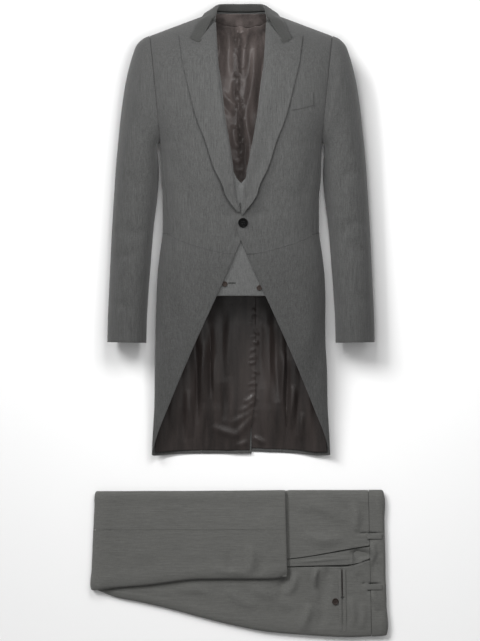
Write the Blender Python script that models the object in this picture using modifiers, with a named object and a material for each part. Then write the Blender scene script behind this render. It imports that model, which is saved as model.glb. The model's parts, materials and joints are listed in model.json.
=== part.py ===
"""Grey wool morning suit: a cutaway coat over a waistcoat, with trousers folded below them.

Everything lies on one flat surface. X runs across the coat, Y from the tails to the collar, and Z up.
Sizes are in millimetres until a mesh is made. y = 0 is the lowest point of the tails, x = 0 the
coat's centre line, and the whole suit is centred on the origin at the end.
"""
import math
from collections import namedtuple

import bmesh
import bpy
import numpy as np
from mathutils import Vector

MM = 0.001

# Cloth and clearances
CLOTH = 2.0
SATIN = 1.1
DOUBLED_CLOTH = 2.4
SEAM_GAP = 0.3
LAYER_GAP = 0.4

# Colours of the materials
GREY_WOOL = (0.122, 0.124, 0.122)
DARK_WOOL = (0.091, 0.093, 0.089)
PALE_WOOL = (0.162, 0.164, 0.162)
WARM_WOOL = (0.113, 0.113, 0.105)
BROWN_SATIN = (0.075, 0.056, 0.050)
BLACK_HORN = (0.012, 0.012, 0.012)
BROWN_HORN = (0.110, 0.085, 0.070)

# Coat body: half width, height of the widest line, and rise of the front above it
BodyRow = namedtuple("BodyRow", "y half_width mid_height front_rise")
BODY = [
    BodyRow(0, 201, 27, 20),
    BodyRow(45, 199, 31, 27),
    BodyRow(117, 195, 39, 38),
    BodyRow(190, 194, 48, 50),
    BodyRow(261, 192.5, 56, 61),
    BodyRow(333, 191, 63, 71),
    BodyRow(405, 188, 70, 80),
    BodyRow(450, 183, 74, 85),
    BodyRow(515, 175.5, 77, 89),
    BodyRow(585, 175.5, 81, 94),
    BodyRow(621, 179.5, 84, 98),
    BodyRow(715, 183, 90, 104),
    BodyRow(783, 189, 92, 105),
    BodyRow(855, 196, 92, 101),
    BodyRow(886, 199, 91, 98),
    BodyRow(945, 205, 88, 93),
]
FRONT_POWER = 2.3
BACK_POWER = 2.9
BACK_DROP = 1.06

# Shoulders: the body rolls over from ROLL_START to the ridge where front and back meet
ROLL_START = 886.0
ROLL_SPAN = 60.0
RIDGE_LEVEL = ROLL_START + ROLL_SPAN
FRONT_ROLL_POWER = 1.6
BACK_ROLL_POWER = 1.8
SHOULDER_X = 205.0
SHOULDER_Y = 945.0
SHOULDER_SLOPE = 0.375
NECK_X = 64.0

# Armholes
ARMPIT_Y = 706.0
ARMHOLE_TOP_Y = SHOULDER_Y
ARMHOLE_HALF_DEPTH = 60.0
ARMHOLE_GAP = 0.6

# Seams of the coat body
WAIST_KNEE_Y = 560.0
SIDE_SEAM_ANGLE = 68.0
SIDE_SEAM_TOP_Y = 742.0
BACK_SEAM_TOP_Y = 770.0
PLEAT_X_WAIST = 58.0
PLEAT_X_HEM = 90.0
WaistRow = namedtuple("WaistRow", "x y")
WAIST_SEAM = [
    WaistRow(0, 455),
    WaistRow(27, 455),
    WaistRow(63, 461),
    WaistRow(103, 472.5),
    WaistRow(135, 483),
    WaistRow(175, 501),
    WaistRow(210, 503),
]

# Front edge: roll line of the lapel, button stance, and cutaway
RollRow = namedtuple("RollRow", "y roll_x")
ROLL_LINE = [
    RollRow(540, 2),
    RollRow(560, 4),
    RollRow(600, 7.5),
    RollRow(648, 16),
    RollRow(684, 25),
    RollRow(756, 38),
    RollRow(823, 48),
    RollRow(886, 54),
    RollRow(952, 57),
    RollRow(985, 58),
]
BUTTON_X = 4.5
BUTTON_Y = 525.0
UNDERLAP_X = 10.0
OVERLAP_X = -8.0
STANCE_TOP_Y = 548.0
CUTAWAY_Y = 484.0
CUTAWAY_SLOPE = 0.4275
CORNER_Y = 34.0
CORNER_RADIUS = 15.0
LAP_RISE = CLOTH + LAYER_GAP
LAP_FULL_X = 13.0
LAP_END_X = 48.0

# Tail hem and centre vent
HemRow = namedtuple("HemRow", "x y")
HEM = [
    HemRow(-205, 3),
    HemRow(-196, 0.5),
    HemRow(-130, 4.7),
    HemRow(0, 5),
    HemRow(24, 5),
    HemRow(56, 8),
    HemRow(126, 5.4),
    HemRow(175, 0.5),
    HemRow(205, 2.3),
]
VENT_OVERLAP = 24.0
VENT_TOP_Y = 440.0
VENT_FADE_START_Y = 468.0
VENT_FADE = 45.0
VENT_RAMP = 45.0
VENT_RISE = CLOTH + SATIN + 2 * LAYER_GAP
LINING_HEM_Y = 13.0
LINING_TOP_Y = 452.0
LINING_FOLD_HEIGHT = 3.2
LINING_RAMP_START = 14.0
LINING_EASE = 3.5

# Lapels: outer edge, peak and gorge
LapelRow = namedtuple("LapelRow", "y edge_x")
LAPEL_EDGE = [
    LapelRow(541, 3),
    LapelRow(547, 8),
    LapelRow(590, 35),
    LapelRow(605, 39),
    LapelRow(650, 60),
    LapelRow(709, 79),
    LapelRow(760, 99),
    LapelRow(835, 119),
    LapelRow(887, 131),
    LapelRow(926, 136),
    LapelRow(944, 138),
]
PEAK_X = 138.0
PEAK_Y = 944.0
NOTCH_X = 92.5
NOTCH_Y = 929.0
GORGE_X = 58.5
GORGE_Y = 972.0
LAPEL_TUCK = 3.8
LapelLift = namedtuple("LapelLift", "share lift")
LAPEL_LIFT = [
    LapelLift(0.0, 0.4),
    LapelLift(0.05, 6.0),
    LapelLift(0.14, 7.2),
    LapelLift(0.4, 5.6),
    LapelLift(0.75, 4.4),
    LapelLift(1.0, 4.0),
]
LAPEL_START_L = 541.0
LAPEL_START_R = 560.0
LAPEL_ROLL_OFF = 3.5
LAPEL_ROLL_OFF_SPAN = 170.0

# Collar: neck seam, fold and outer edge, from the centre back to the leaf
CollarRow = namedtuple("CollarRow", "seam_x seam_y fold_x fold_y fold_z edge_x edge_y")
COLLAR = [
    CollarRow(0, 999.8, 0, 1016.0, 66.0, 0, 982.0),
    CollarRow(27, 1000.2, 25, 1016.2, 68.0, 32, 982.0),
    CollarRow(47, 1001.0, 43, 1015.5, 76.0, 60, 983.5),
    CollarRow(60, 1001.0, 52, 1012.0, 96.0, 79, 998.0),
    CollarRow(59, 996.0, 54, 1003.0, 118.0, 90, 980.0),
    CollarRow(56.5, 986.0, 56.5, 990.0, 136.0, 99, 967.0),
]
COLLAR_FRONT_ROW = 3
LEAF_FOLD_X = 59.5
LEAF_FOLD_Y = 977.0
LEAF_NOTCH_X = 90.0
LEAF_NOTCH_Y = 933.5
LEAF_TIP_X = 112.0
LEAF_TIP_Y = 940.0
COLLAR_CLOTH = 2.2
COLLAR_FOLD_RADIUS = 3.4
COLLAR_FALL_LIFT = 4.0
COLLAR_BACK_LIFT = 5.6

# Sleeves: a row for each section, from the head to the cuff
SleeveRow = namedtuple("SleeveRow", "outer_x outer_y inner_x inner_y mid_height half_depth")
SLEEVE = [
    SleeveRow(220.5, 938, 185.6, 702, 87, 62),
    SleeveRow(234, 925, 186.8, 698.5, 85, 63.5),
    SleeveRow(243, 903, 187.6, 695, 81, 64.5),
    SleeveRow(252, 872, 188.0, 691, 77, 65),
    SleeveRow(260, 836, 188.0, 686, 72, 64.5),
    SleeveRow(267, 790, 187.4, 678, 67, 64),
    SleeveRow(274, 729, 185.8, 662, 63, 63),
    SleeveRow(281, 655, 184.6, 633, 59.5, 60.5),
    SleeveRow(285.7, 585, 187.9, 585, 56.5, 57.5),
    SleeveRow(290, 513, 196.5, 513, 54, 55),
    SleeveRow(293.6, 441, 202.5, 441, 52, 53),
    SleeveRow(297, 369, 208, 369, 50, 51),
    SleeveRow(299.6, 311, 211.5, 311, 48.5, 49.5),
    SleeveRow(300.8, 256, 212.8, 254.5, 47.5, 48.5),
]
SLEEVE_SEGMENTS = 18
SLEEVE_POWER = 2.15
SLEEVE_SEAM_FRONT = 8
SLEEVE_SEAM_BACK = 16

# Chest welt, on the wearer's left
WELT_LEFT_X = 112.0
WELT_RIGHT_X = 162.0
WELT_LEFT_Y = 776.0
WELT_RISE_Y = 12.0
WELT_HEIGHT = 30.5

# Waistcoat
VEST_HEM_Y = 359.0
VEST_V_Y = 612.0
VEST_V_SLOPE = 0.2
VEST_OVERLAP_X = -62.0
VEST_OVERLAP_Y = 540.0
VEST_UNDERLAP_X = -48.0
VEST_SIDE_ANGLE = 93.0
VEST_BACK_ANGLE = 97.0
VEST_STRAP_SHARE = 0.72
VEST_ARMHOLE_Y = 640.0
VEST_ARMHOLE_TOP_Y = 790.0
VEST_NECK_X = 77.0
VEST_NECK_BACK_Y = 972.0
VEST_LEFT_DEPTH = CLOTH + 3 * LAYER_GAP + LAP_RISE
VEST_RIGHT_DEPTH = VEST_LEFT_DEPTH + CLOTH + 3 * LAYER_GAP
VEST_BACK_DEPTH = VENT_RISE + CLOTH + 2 * SATIN + 4 * LAYER_GAP

# Buttons: diameter and thickness
COAT_BUTTON_D = 22.0
COAT_BUTTON_T = 4.2
VEST_BUTTON_D = 12.5
VEST_BUTTON_T = 2.4
POCKET_BUTTON_D = 15.0
POCKET_BUTTON_T = 3.0
BUTTON_STEPS = 16
VEST_BUTTON_PLACES = [(-36.7, 386.0), (41.4, 377.5)]


class Curve:
    """Smooth curve through the rows of a table, with no overshoot between them."""

    def __init__(self, rows, across, along="y"):
        pairs = sorted((getattr(row, along), getattr(row, across)) for row in rows)
        self.x = np.array([p[0] for p in pairs], dtype=float)
        self.v = np.array([p[1] for p in pairs], dtype=float)
        step = np.diff(self.x)
        rise = np.diff(self.v) / step
        slope = np.zeros(len(self.x))
        slope[0] = rise[0]
        slope[-1] = rise[-1]
        for i in range(1, len(self.x) - 1):
            if rise[i - 1] * rise[i] > 0:
                slope[i] = 2 * rise[i - 1] * rise[i] / (rise[i - 1] + rise[i])
        self.slope = slope

    def __call__(self, at):
        at = min(max(at, self.x[0]), self.x[-1])
        i = min(int(np.searchsorted(self.x, at, side="right")) - 1, len(self.x) - 2)
        step = self.x[i + 1] - self.x[i]
        t = (at - self.x[i]) / step
        stay = (1 + 2 * t) * (1 - t) ** 2 * self.v[i] + t * t * (3 - 2 * t) * self.v[i + 1]
        lean = t * (1 - t) ** 2 * self.slope[i] - t * t * (1 - t) * self.slope[i + 1]
        return float(stay + lean * step)


half_width = Curve(BODY, "half_width")
mid_height = Curve(BODY, "mid_height")
front_rise = Curve(BODY, "front_rise")
waist_seam_y = Curve(WAIST_SEAM, "y", "x")
hem_y = Curve(HEM, "y", "x")
roll_line_x = Curve(ROLL_LINE, "roll_x")
lapel_edge_x = Curve(LAPEL_EDGE, "edge_x")
lapel_lift = Curve(LAPEL_LIFT, "lift", "share")


def blend(low, high, share):
    return low + (high - low) * share


def smoothstep(low, high, value):
    t = min(max((value - low) / (high - low), 0.0), 1.0)
    return t * t * (3 - 2 * t)


def spread(low, high, count):
    return [blend(low, high, i / (count - 1)) for i in range(count)]


def shoulder_y(x):
    """Height of the ridge where front and back meet, at x from the centre."""
    return SHOULDER_Y + SHOULDER_SLOPE * (SHOULDER_X - min(max(abs(x), NECK_X - 24), SHOULDER_X))


def armhole_opening(y):
    """Half the armhole's depth at height y, 0 below the armpit."""
    middle = (ARMPIT_Y + ARMHOLE_TOP_Y) / 2
    reach = (ARMHOLE_TOP_Y - ARMPIT_Y) / 2
    share = (y - middle) / reach
    return ARMHOLE_HALF_DEPTH * math.sqrt(max(0.0, 1 - share * share))


def section_depth(share, rise, edge, power):
    """Depth of a rounded section at a share of its half width, where edge is left at the end."""
    cut = (1 - (edge / rise) ** power) ** (1 / power)
    return rise * max(0.0, 1 - (cut * share) ** power) ** (1 / power)


def body_skin(angle, level):
    """Point of the coat's outer skin.

    angle is 0 at the centre front, 90 at the wearer's left side and 180 at the centre back.
    level is y up to ROLL_START, and from there to RIDGE_LEVEL it runs over the shoulder.
    """
    turn = min(max((level - ROLL_START) / ROLL_SPAN, 0.0), 1.0)
    row_y = min(level, ROLL_START) + turn * (SHOULDER_Y - ROLL_START)
    share = math.sin(math.radians(angle))
    x = half_width(row_y) * share
    y = level if turn == 0 else ROLL_START + turn * (shoulder_y(x) - ROLL_START)
    front = math.cos(math.radians(angle)) >= 0
    roll_power = FRONT_ROLL_POWER if front else BACK_ROLL_POWER
    inside_turn = min(turn, 0.9999)
    roll = (1 - inside_turn ** roll_power) ** (1 / roll_power)
    edge = armhole_opening(row_y if turn == 0 else min(row_y, ARMHOLE_TOP_Y - 0.01)) / roll
    middle = mid_height(row_y)
    rise = front_rise(row_y) if front else middle * BACK_DROP
    depth = section_depth(abs(share), rise, min(edge, rise * 0.97), FRONT_POWER if front else BACK_POWER)
    if turn < 1:
        depth *= roll
    else:
        depth = 0.0
    seam = SEAM_GAP / 2 if turn == 1 else 0.0
    z = middle + depth + seam if front else middle - depth - seam
    return np.array([x, y, max(z, 0.0)])


def body_normal(angle, level):
    """Outward direction of the coat's outer skin, from points on each side of the place."""
    low, high = angle - 0.5, angle + 0.5
    if level > ARMPIT_Y:
        if math.cos(math.radians(angle)) >= 0:
            high = min(high, 90 - 1e-6)
        else:
            low = max(low, 90 + 1e-6)
            high = min(high, 270 - 1e-6)
    across = body_skin(high, level) - body_skin(low, level)
    along = body_skin(angle, min(level + 1.0, RIDGE_LEVEL - 0.05)) - body_skin(angle, level - 1.0)
    normal = np.cross(across, along)
    if level >= RIDGE_LEVEL - 1e-6:
        normal = np.array([-across[1], across[0], 0.0]) * np.sign(across[0])
    length = np.linalg.norm(normal)
    normal = normal / length
    outward = body_skin(angle, level) - np.array([0.0, 0.0, mid_height(min(level, SHOULDER_Y))])
    outward[1] = 0.0 if level < ROLL_START else 40.0
    return normal if float(np.dot(normal, outward)) >= 0 else -normal


def body_point(angle, level, lift=0.0):
    """Point that lies lift above the coat's outer skin, or under it where lift is negative."""
    point = body_skin(angle, level)
    if lift:
        point = point + body_normal(angle, level) * lift
    return point


def angle_at(x, level, back=False):
    """Angle at which the section of that level reaches x."""
    turn = min(max((level - ROLL_START) / ROLL_SPAN, 0.0), 1.0)
    row_y = min(level, ROLL_START) + turn * (SHOULDER_Y - ROLL_START)
    share = min(max(x / half_width(row_y), -1.0), 1.0)
    angle = math.degrees(math.asin(share))
    return 180.0 - angle if back else angle


def level_at(x, y):
    """Level on which the point (x, y) lies, seen from above."""
    if y <= ROLL_START:
        return y
    return ROLL_START + ROLL_SPAN * min((y - ROLL_START) / (shoulder_y(x) - ROLL_START), 1.0)


def front_point(x, y, lift=0.0):
    """Point over the coat's front, seen from above at (x, y)."""
    level = level_at(x, y)
    return body_point(angle_at(x, level), level, lift)


def back_point(x, y, lift=0.0):
    """Point under the coat's back, seen from above at (x, y)."""
    level = level_at(x, y)
    return body_point(angle_at(x, level, back=True), level, lift)


def pulled_in(grid, gap=SEAM_GAP / 2, ends=(True, True, True, True)):
    """The grid with its borders moved in by the gap: first row, last row, first and last column."""
    grid = grid.copy()
    rows, columns = grid.shape[:2]
    moves = [
        (ends[0], grid[0], grid[1]),
        (ends[1], grid[rows - 1], grid[rows - 2]),
        (ends[2], grid[:, 0], grid[:, 1]),
        (ends[3], grid[:, columns - 1], grid[:, columns - 2]),
    ]
    for wanted, border, inside in moves:
        if wanted:
            step = inside - border
            length = np.linalg.norm(step, axis=-1, keepdims=True)
            border += step / np.maximum(length, 1e-9) * gap
    return grid


def new_material(name, colour, roughness):
    material = bpy.data.materials.new(name)
    material.use_nodes = True
    shader = material.node_tree.nodes["Principled BSDF"]
    shader.inputs["Base Color"].default_value = (*colour, 1.0)
    shader.inputs["Roughness"].default_value = roughness
    shader.inputs["Metallic"].default_value = 0.0
    material.diffuse_color = (*colour, 1.0)
    return material


def add_object(name, shape, colour, roughness, collection, parent):
    """Puts a bmesh, still in millimetres, into the scene as one named piece."""
    bmesh.ops.scale(shape, vec=Vector((MM, MM, MM)), verts=shape.verts)
    mesh = bpy.data.meshes.new(name)
    shape.to_mesh(mesh)
    shape.free()
    mesh.shade_smooth()
    mesh.set_sharp_from_angle(angle=math.radians(50))
    mesh.materials.append(new_material(name, colour, roughness))
    piece = bpy.data.objects.new(name, mesh)
    collection.objects.link(piece)
    piece.parent = parent
    return piece


def wall(outer, inner):
    """Closed cloth wall between an outer and an inner grid of the same size."""
    rows, columns = outer.shape[:2]
    shape = bmesh.new()
    skins = []
    for grid in (outer, inner):
        skins.append([[shape.verts.new(grid[i, j]) for j in range(columns)] for i in range(rows)])
    top, under = skins
    for i in range(rows - 1):
        for j in range(columns - 1):
            shape.faces.new((top[i][j], top[i][j + 1], top[i + 1][j + 1], top[i + 1][j]))
            shape.faces.new((under[i][j], under[i + 1][j], under[i + 1][j + 1], under[i][j + 1]))
    rim = [(0, j) for j in range(columns)]
    rim += [(i, columns - 1) for i in range(1, rows)]
    rim += [(rows - 1, j) for j in range(columns - 2, -1, -1)]
    rim += [(i, 0) for i in range(rows - 2, 0, -1)]
    for (i, j), (k, m) in zip(rim, rim[1:] + rim[:1]):
        shape.faces.new((top[k][m], top[i][j], under[i][j], under[k][m]))
    bmesh.ops.recalc_face_normals(shape, faces=shape.faces)
    return shape


def mirrored(grid):
    """The grid for the wearer's right, from the one for the left."""
    flipped = grid.copy()
    flipped[..., 0] *= -1
    return flipped


def skin(places, lift):
    """Grid of points over the coat body; lift is a number or a function of x and y."""
    rows = []
    for row in places:
        points = []
        for angle, level in row:
            height = lift
            if callable(lift):
                bare = body_skin(angle, level)
                height = lift(bare[0], bare[1])
            points.append(body_point(angle, level, height))
        rows.append(points)
    return np.array(rows)


def sheet_wall(places, lift, thickness, gap=SEAM_GAP / 2, ends=(True, True, True, True)):
    """Wall of cloth over the coat body, whose outer skin has the lift."""
    def under(x, y):
        return (lift(x, y) if callable(lift) else lift) - thickness
    return pulled_in(skin(places, lift), gap, ends), pulled_in(skin(places, under), gap, ends)


# Coat body panels

WAIST_FRONT_Y = waist_seam_y(half_width(500) * math.sin(math.radians(SIDE_SEAM_ANGLE)))
WAIST_BACK_Y = 503.0
BACK_SEAM_ANGLE = angle_at(PLEAT_X_WAIST, WAIST_BACK_Y, back=True)
SIDE_ROWS = 8
FRONT_COLUMNS = 10
SIDE_COLUMNS = 9
SKIRT_ROWS = 11
SKIRT_BACK_COLUMNS = 9
ARMHOLE_STEPS = (0.3, 0.65, 1.0)
ROLL_STEPS = (0.3, 0.55, 0.75, 0.9, 1.0)
BACK_SHARES = (0.0, 0.1, 0.202, 0.32, 0.46, 0.6, 0.74, 0.88, 1.0)
BACK_NECK_Y = 998.0


def side_seam_angle(y):
    """Angle of the seam between forepart and side body, which runs up into the armhole."""
    share = max(0.0, 1 - (y - WAIST_FRONT_Y) / (SIDE_SEAM_TOP_Y - WAIST_FRONT_Y))
    return min(90 - (90 - SIDE_SEAM_ANGLE) * min(share, 1.0) ** 0.5, 90 - 1e-6)


def back_seam_angle(y):
    """Angle of the back panel's outer edge above the waist."""
    share = max(0.0, 1 - (y - WAIST_BACK_Y) / (BACK_SEAM_TOP_Y - WAIST_BACK_Y))
    return max(90 + (BACK_SEAM_ANGLE - 90) * min(share, 1.0) ** 0.5, 90 + 1e-6)


def side_levels(low, high):
    """Heights of the side body's rows on a seam that runs from low to high."""
    return [low + (high - low) * (1 - (1 - s) ** 2) for s in spread(0, 1, SIDE_ROWS)]


def waist_level(angle):
    """Height of the waist seam where the section's angle crosses it."""
    if math.cos(math.radians(angle)) < 0:
        return WAIST_BACK_Y
    y = WAIST_FRONT_Y
    for _ in range(4):
        y = waist_seam_y(half_width(y) * math.sin(math.radians(angle)))
    return y


def front_edge_x(y, reach):
    """Front edge of the coat: roll line, button stance that reaches past the centre, and cutaway."""
    cutaway = CUTAWAY_SLOPE * (CUTAWAY_Y - y)
    stance = max(reach, cutaway)
    return blend(stance, roll_line_x(y), smoothstep(STANCE_TOP_Y - 8, STANCE_TOP_Y + 12, y))


def forepart_places(reach):
    levels = side_levels(WAIST_FRONT_Y, SIDE_SEAM_TOP_Y)
    levels += [blend(SIDE_SEAM_TOP_Y, ROLL_START, s) for s in ARMHOLE_STEPS]
    levels += [ROLL_START + ROLL_SPAN * s for s in ROLL_STEPS]
    stance = [blend(WAIST_KNEE_Y, levels[3], 0.3)] if levels[3] > WAIST_KNEE_Y else []
    places = []
    for level in sorted(levels + stance):
        turn = max(0.0, (level - ROLL_START) / ROLL_SPAN)
        rise = min(1.0, (level - WAIST_FRONT_Y) / (WAIST_KNEE_Y - WAIST_FRONT_Y))
        front_y = blend(WAIST_SEAM[0].y, WAIST_KNEE_Y, rise) if rise < 1 else level
        if turn > 0:
            front_y = ROLL_START + turn * (shoulder_y(NECK_X) - ROLL_START)
        left_x = NECK_X if turn >= 1 else front_edge_x(front_y, reach)
        left = angle_at(left_x, level)
        right = side_seam_angle(level) if level < SIDE_SEAM_TOP_Y else 90 - 1e-6
        row = []
        for share in spread(0, 1, FRONT_COLUMNS):
            angle = blend(left, right, share)
            row.append((angle, level if rise >= 1 else blend(waist_level(angle), WAIST_KNEE_Y, rise)))
        places.append(row)
    return places


def side_body_places():
    places = []
    for s in spread(0, 1, SIDE_ROWS):
        row = []
        for t in spread(0, 1, SIDE_COLUMNS):
            front = t < 0.5
            bottom_angle = blend(SIDE_SEAM_ANGLE, BACK_SEAM_ANGLE, t)
            away = abs(1 - 2 * t)
            top = ARMPIT_Y + ((SIDE_SEAM_TOP_Y if front else BACK_SEAM_TOP_Y) - ARMPIT_Y) * away ** 2
            angle = 90 + (bottom_angle - 90) * (1 - s)
            if s == 1:
                angle = 90 - 1e-6 if front else 90 + 1e-6
            bottom = waist_level(bottom_angle)
            row.append((angle, bottom + (top - bottom) * (1 - (1 - s) ** 2)))
        places.append(row)
    return places


def pleat_x(y):
    return blend(PLEAT_X_HEM, PLEAT_X_WAIST, smoothstep(0, WAIST_BACK_Y, y))


def skirt_shares():
    return spread(0, 1, SKIRT_ROWS)


def skirt_places(side):
    """Skirt from the cutaway edge round the side to the pleat; side is 1 on the wearer's left."""
    places = []
    for s in skirt_shares():
        y_middle = blend(0, WAIST_SEAM[0].y, s)
        corner = max(0.0, (CORNER_Y - y_middle) / CORNER_Y)
        edge_x = CUTAWAY_SLOPE * (CUTAWAY_Y - y_middle) + CORNER_RADIUS * corner ** 2 / 3
        left = angle_at(min(edge_x, 0.994 * half_width(y_middle)), y_middle)
        y_pleat = blend(hem_y(side * PLEAT_X_HEM), WAIST_BACK_Y, s)
        right = angle_at(pleat_x(y_pleat), y_pleat, back=True)
        middle = max(blend(blend(left, right, 0.35), SIDE_SEAM_ANGLE, s), left)
        angles = [blend(left, middle, t) for t in spread(0, 1, FRONT_COLUMNS)]
        angles += [blend(middle, right, t) for t in spread(0, 1, SKIRT_BACK_COLUMNS)[1:]]
        row = []
        for angle in angles:
            x = half_width(y_middle) * math.sin(math.radians(angle))
            row.append((angle, blend(hem_y(side * x), waist_level(angle) - SEAM_GAP, s)))
        places.append(row)
    return places


def vent_left_x(y, reach):
    """Inner edge of the back: the centre seam, and the vent's extension below its top."""
    return -reach if y < VENT_TOP_Y else 0.0


def back_places(side, reach):
    """Back panel from hem to shoulder and neck; reach is the width of the vent's extension."""
    tails = [blend(hem_y(side * PLEAT_X_HEM), WAIST_BACK_Y, s) for s in skirt_shares()]
    levels = tails + side_levels(WAIST_BACK_Y, BACK_SEAM_TOP_Y)[1:]
    levels += [blend(BACK_SEAM_TOP_Y, ROLL_START, s) for s in ARMHOLE_STEPS]
    levels += [ROLL_START + ROLL_SPAN * s for s in ROLL_STEPS]
    places = []
    for level in levels:
        if level <= WAIST_BACK_Y:
            outer = angle_at(pleat_x(level), level, back=True)
        else:
            outer = back_seam_angle(level) if level < BACK_SEAM_TOP_Y else 90 + 1e-6
        inner = angle_at(vent_left_x(level, reach), level, back=True)
        row = []
        for share in BACK_SHARES:
            angle = blend(inner, outer, share)
            x = half_width(level) * math.sin(math.radians(angle))
            height = level
            if level < WAIST_BACK_Y / 2:
                drop = hem_y(side * x) - hem_y(side * PLEAT_X_HEM)
                height += drop * (1 - smoothstep(0, WAIST_BACK_Y / 2, level))
            if level > ROLL_START and x < NECK_X - 1:
                neck = level_at(x, BACK_NECK_Y)
                height = blend(ROLL_START, neck, (level - ROLL_START) / ROLL_SPAN)
            row.append((angle, height))
        places.append(row)
    return places


def lap(x, y):
    """Rise of the wearer's left front where it lies over the right."""
    return LAP_RISE * (1 - smoothstep(LAP_FULL_X, LAP_END_X, x)) * (1 - smoothstep(590, 640, y))


def vent_rise(x, y, start=2.0):
    """Rise of the wearer's right tail, inward, where it lies over the left at the vent."""
    near = 1 - smoothstep(start, start + VENT_RAMP, x)
    return -VENT_RISE * near * (1 - smoothstep(VENT_FADE_START_Y, VENT_FADE_START_Y + VENT_FADE, y))


# Linings, lapels, collar and welt

LINING_ROWS = 12
LINING_COLUMNS = 14
LINING_SIDE_ANGLE = 112.0


def lining_folds(x, y):
    """Long folds that hang down the lining, flat near its borders and the vent."""
    along = smoothstep(20, 90, y) * (1 - smoothstep(270, 345, y))
    across = smoothstep(34, 62, x) * (1 - smoothstep(150, 185, x))
    wander = 0.9 * math.sin(y / 95.0) + x / 37.0 * math.pi
    return LINING_FOLD_HEIGHT * along * across * (0.5 - 0.5 * math.cos(wander * 2))


def lining_places(side, reach):
    places = []
    for s in spread(0, 1, LINING_ROWS):
        level = blend(LINING_HEM_Y, LINING_TOP_Y, s)
        inner = angle_at(vent_left_x(level, reach), level, back=True)
        row = []
        for t in spread(0, 1, LINING_COLUMNS):
            angle = blend(inner, LINING_SIDE_ANGLE, t)
            x = half_width(level) * math.sin(math.radians(angle))
            row.append((angle, level + (hem_y(side * x) - 5) * (1 - s)))
        places.append(row)
    return places


def lapel_grids(start_y, side):
    """Outer and under skin of a lapel, which lies on the forepart and rolls off it low down."""
    rows, columns = 15, 9
    shares = (0.0, 0.05, 0.14, 0.27, 0.4, 0.55, 0.7, 0.85, 1.0)
    notch_share = shares[4]
    outer, under = [], []
    for s in spread(0, 1, rows):
        roll_y = blend(start_y, GORGE_Y, s)
        edge_y = blend(start_y + 2, PEAK_Y, s)
        roll = np.array([roll_line_x(roll_y) - LAPEL_TUCK, roll_y])
        edge = np.array([lapel_edge_x(edge_y), edge_y])
        outer_row, under_row = [], []
        for t in shares[:columns]:
            if t < notch_share:
                top = blend(np.array([GORGE_X - LAPEL_TUCK, GORGE_Y]), np.array([NOTCH_X, NOTCH_Y]),
                            t / notch_share)
            else:
                top = blend(np.array([NOTCH_X, NOTCH_Y]), np.array([PEAK_X, PEAK_Y]),
                            (t - notch_share) / (1 - notch_share))
            last = blend(np.array([roll_line_x(GORGE_Y) - LAPEL_TUCK, GORGE_Y]),
                         np.array([lapel_edge_x(PEAK_Y), PEAK_Y]), t)
            x, y = blend(roll, edge, t) + s ** 5 * (top - last)
            lift = lapel_lift(t) + LAPEL_ROLL_OFF * t * (1 - smoothstep(0, LAPEL_ROLL_OFF_SPAN, y - start_y))
            if side > 0:
                lift += lap(x, y)
            outer_row.append(front_point(x, y, lift))
            under_row.append(front_point(x, y, lift - DOUBLED_CLOTH))
        outer.append(outer_row)
        under.append(under_row)
    return np.array(outer), np.array(under)


def unit(vector):
    return vector / max(np.linalg.norm(vector), 1e-9)


def collar_section(seam, fold, edge, middle, edge_normal, over):
    """Outer and under points of the collar across one row: stand, fold and fall."""
    up = unit(fold - (seam + edge) / 2)
    side = edge - seam
    side = unit(side - up * np.dot(side, up))
    centre = fold - up * COLLAR_FOLD_RADIUS
    small = COLLAR_FOLD_RADIUS - COLLAR_CLOTH
    outer = [seam, blend(seam, centre - side * COLLAR_FOLD_RADIUS, 0.5)]
    under = [point + side * COLLAR_CLOTH for point in outer]
    for turn in (180, 135, 90, 45, 0):
        radian = math.radians(turn)
        direction = side * math.cos(radian) + up * math.sin(radian)
        outer.append(centre + direction * COLLAR_FOLD_RADIUS)
        under.append(centre + direction * small)
    start = outer[-1]
    for share in (0.33, 0.67, 1.0):
        if middle is None:
            point = blend(start, edge, share)
        else:
            point = blend(start, middle, share / 0.67) if share < 0.8 else edge
        if share < 1.0:
            point = over(point)
        outer.append(point)
        under.append(point - edge_normal * COLLAR_CLOTH)
    return outer, under


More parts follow.
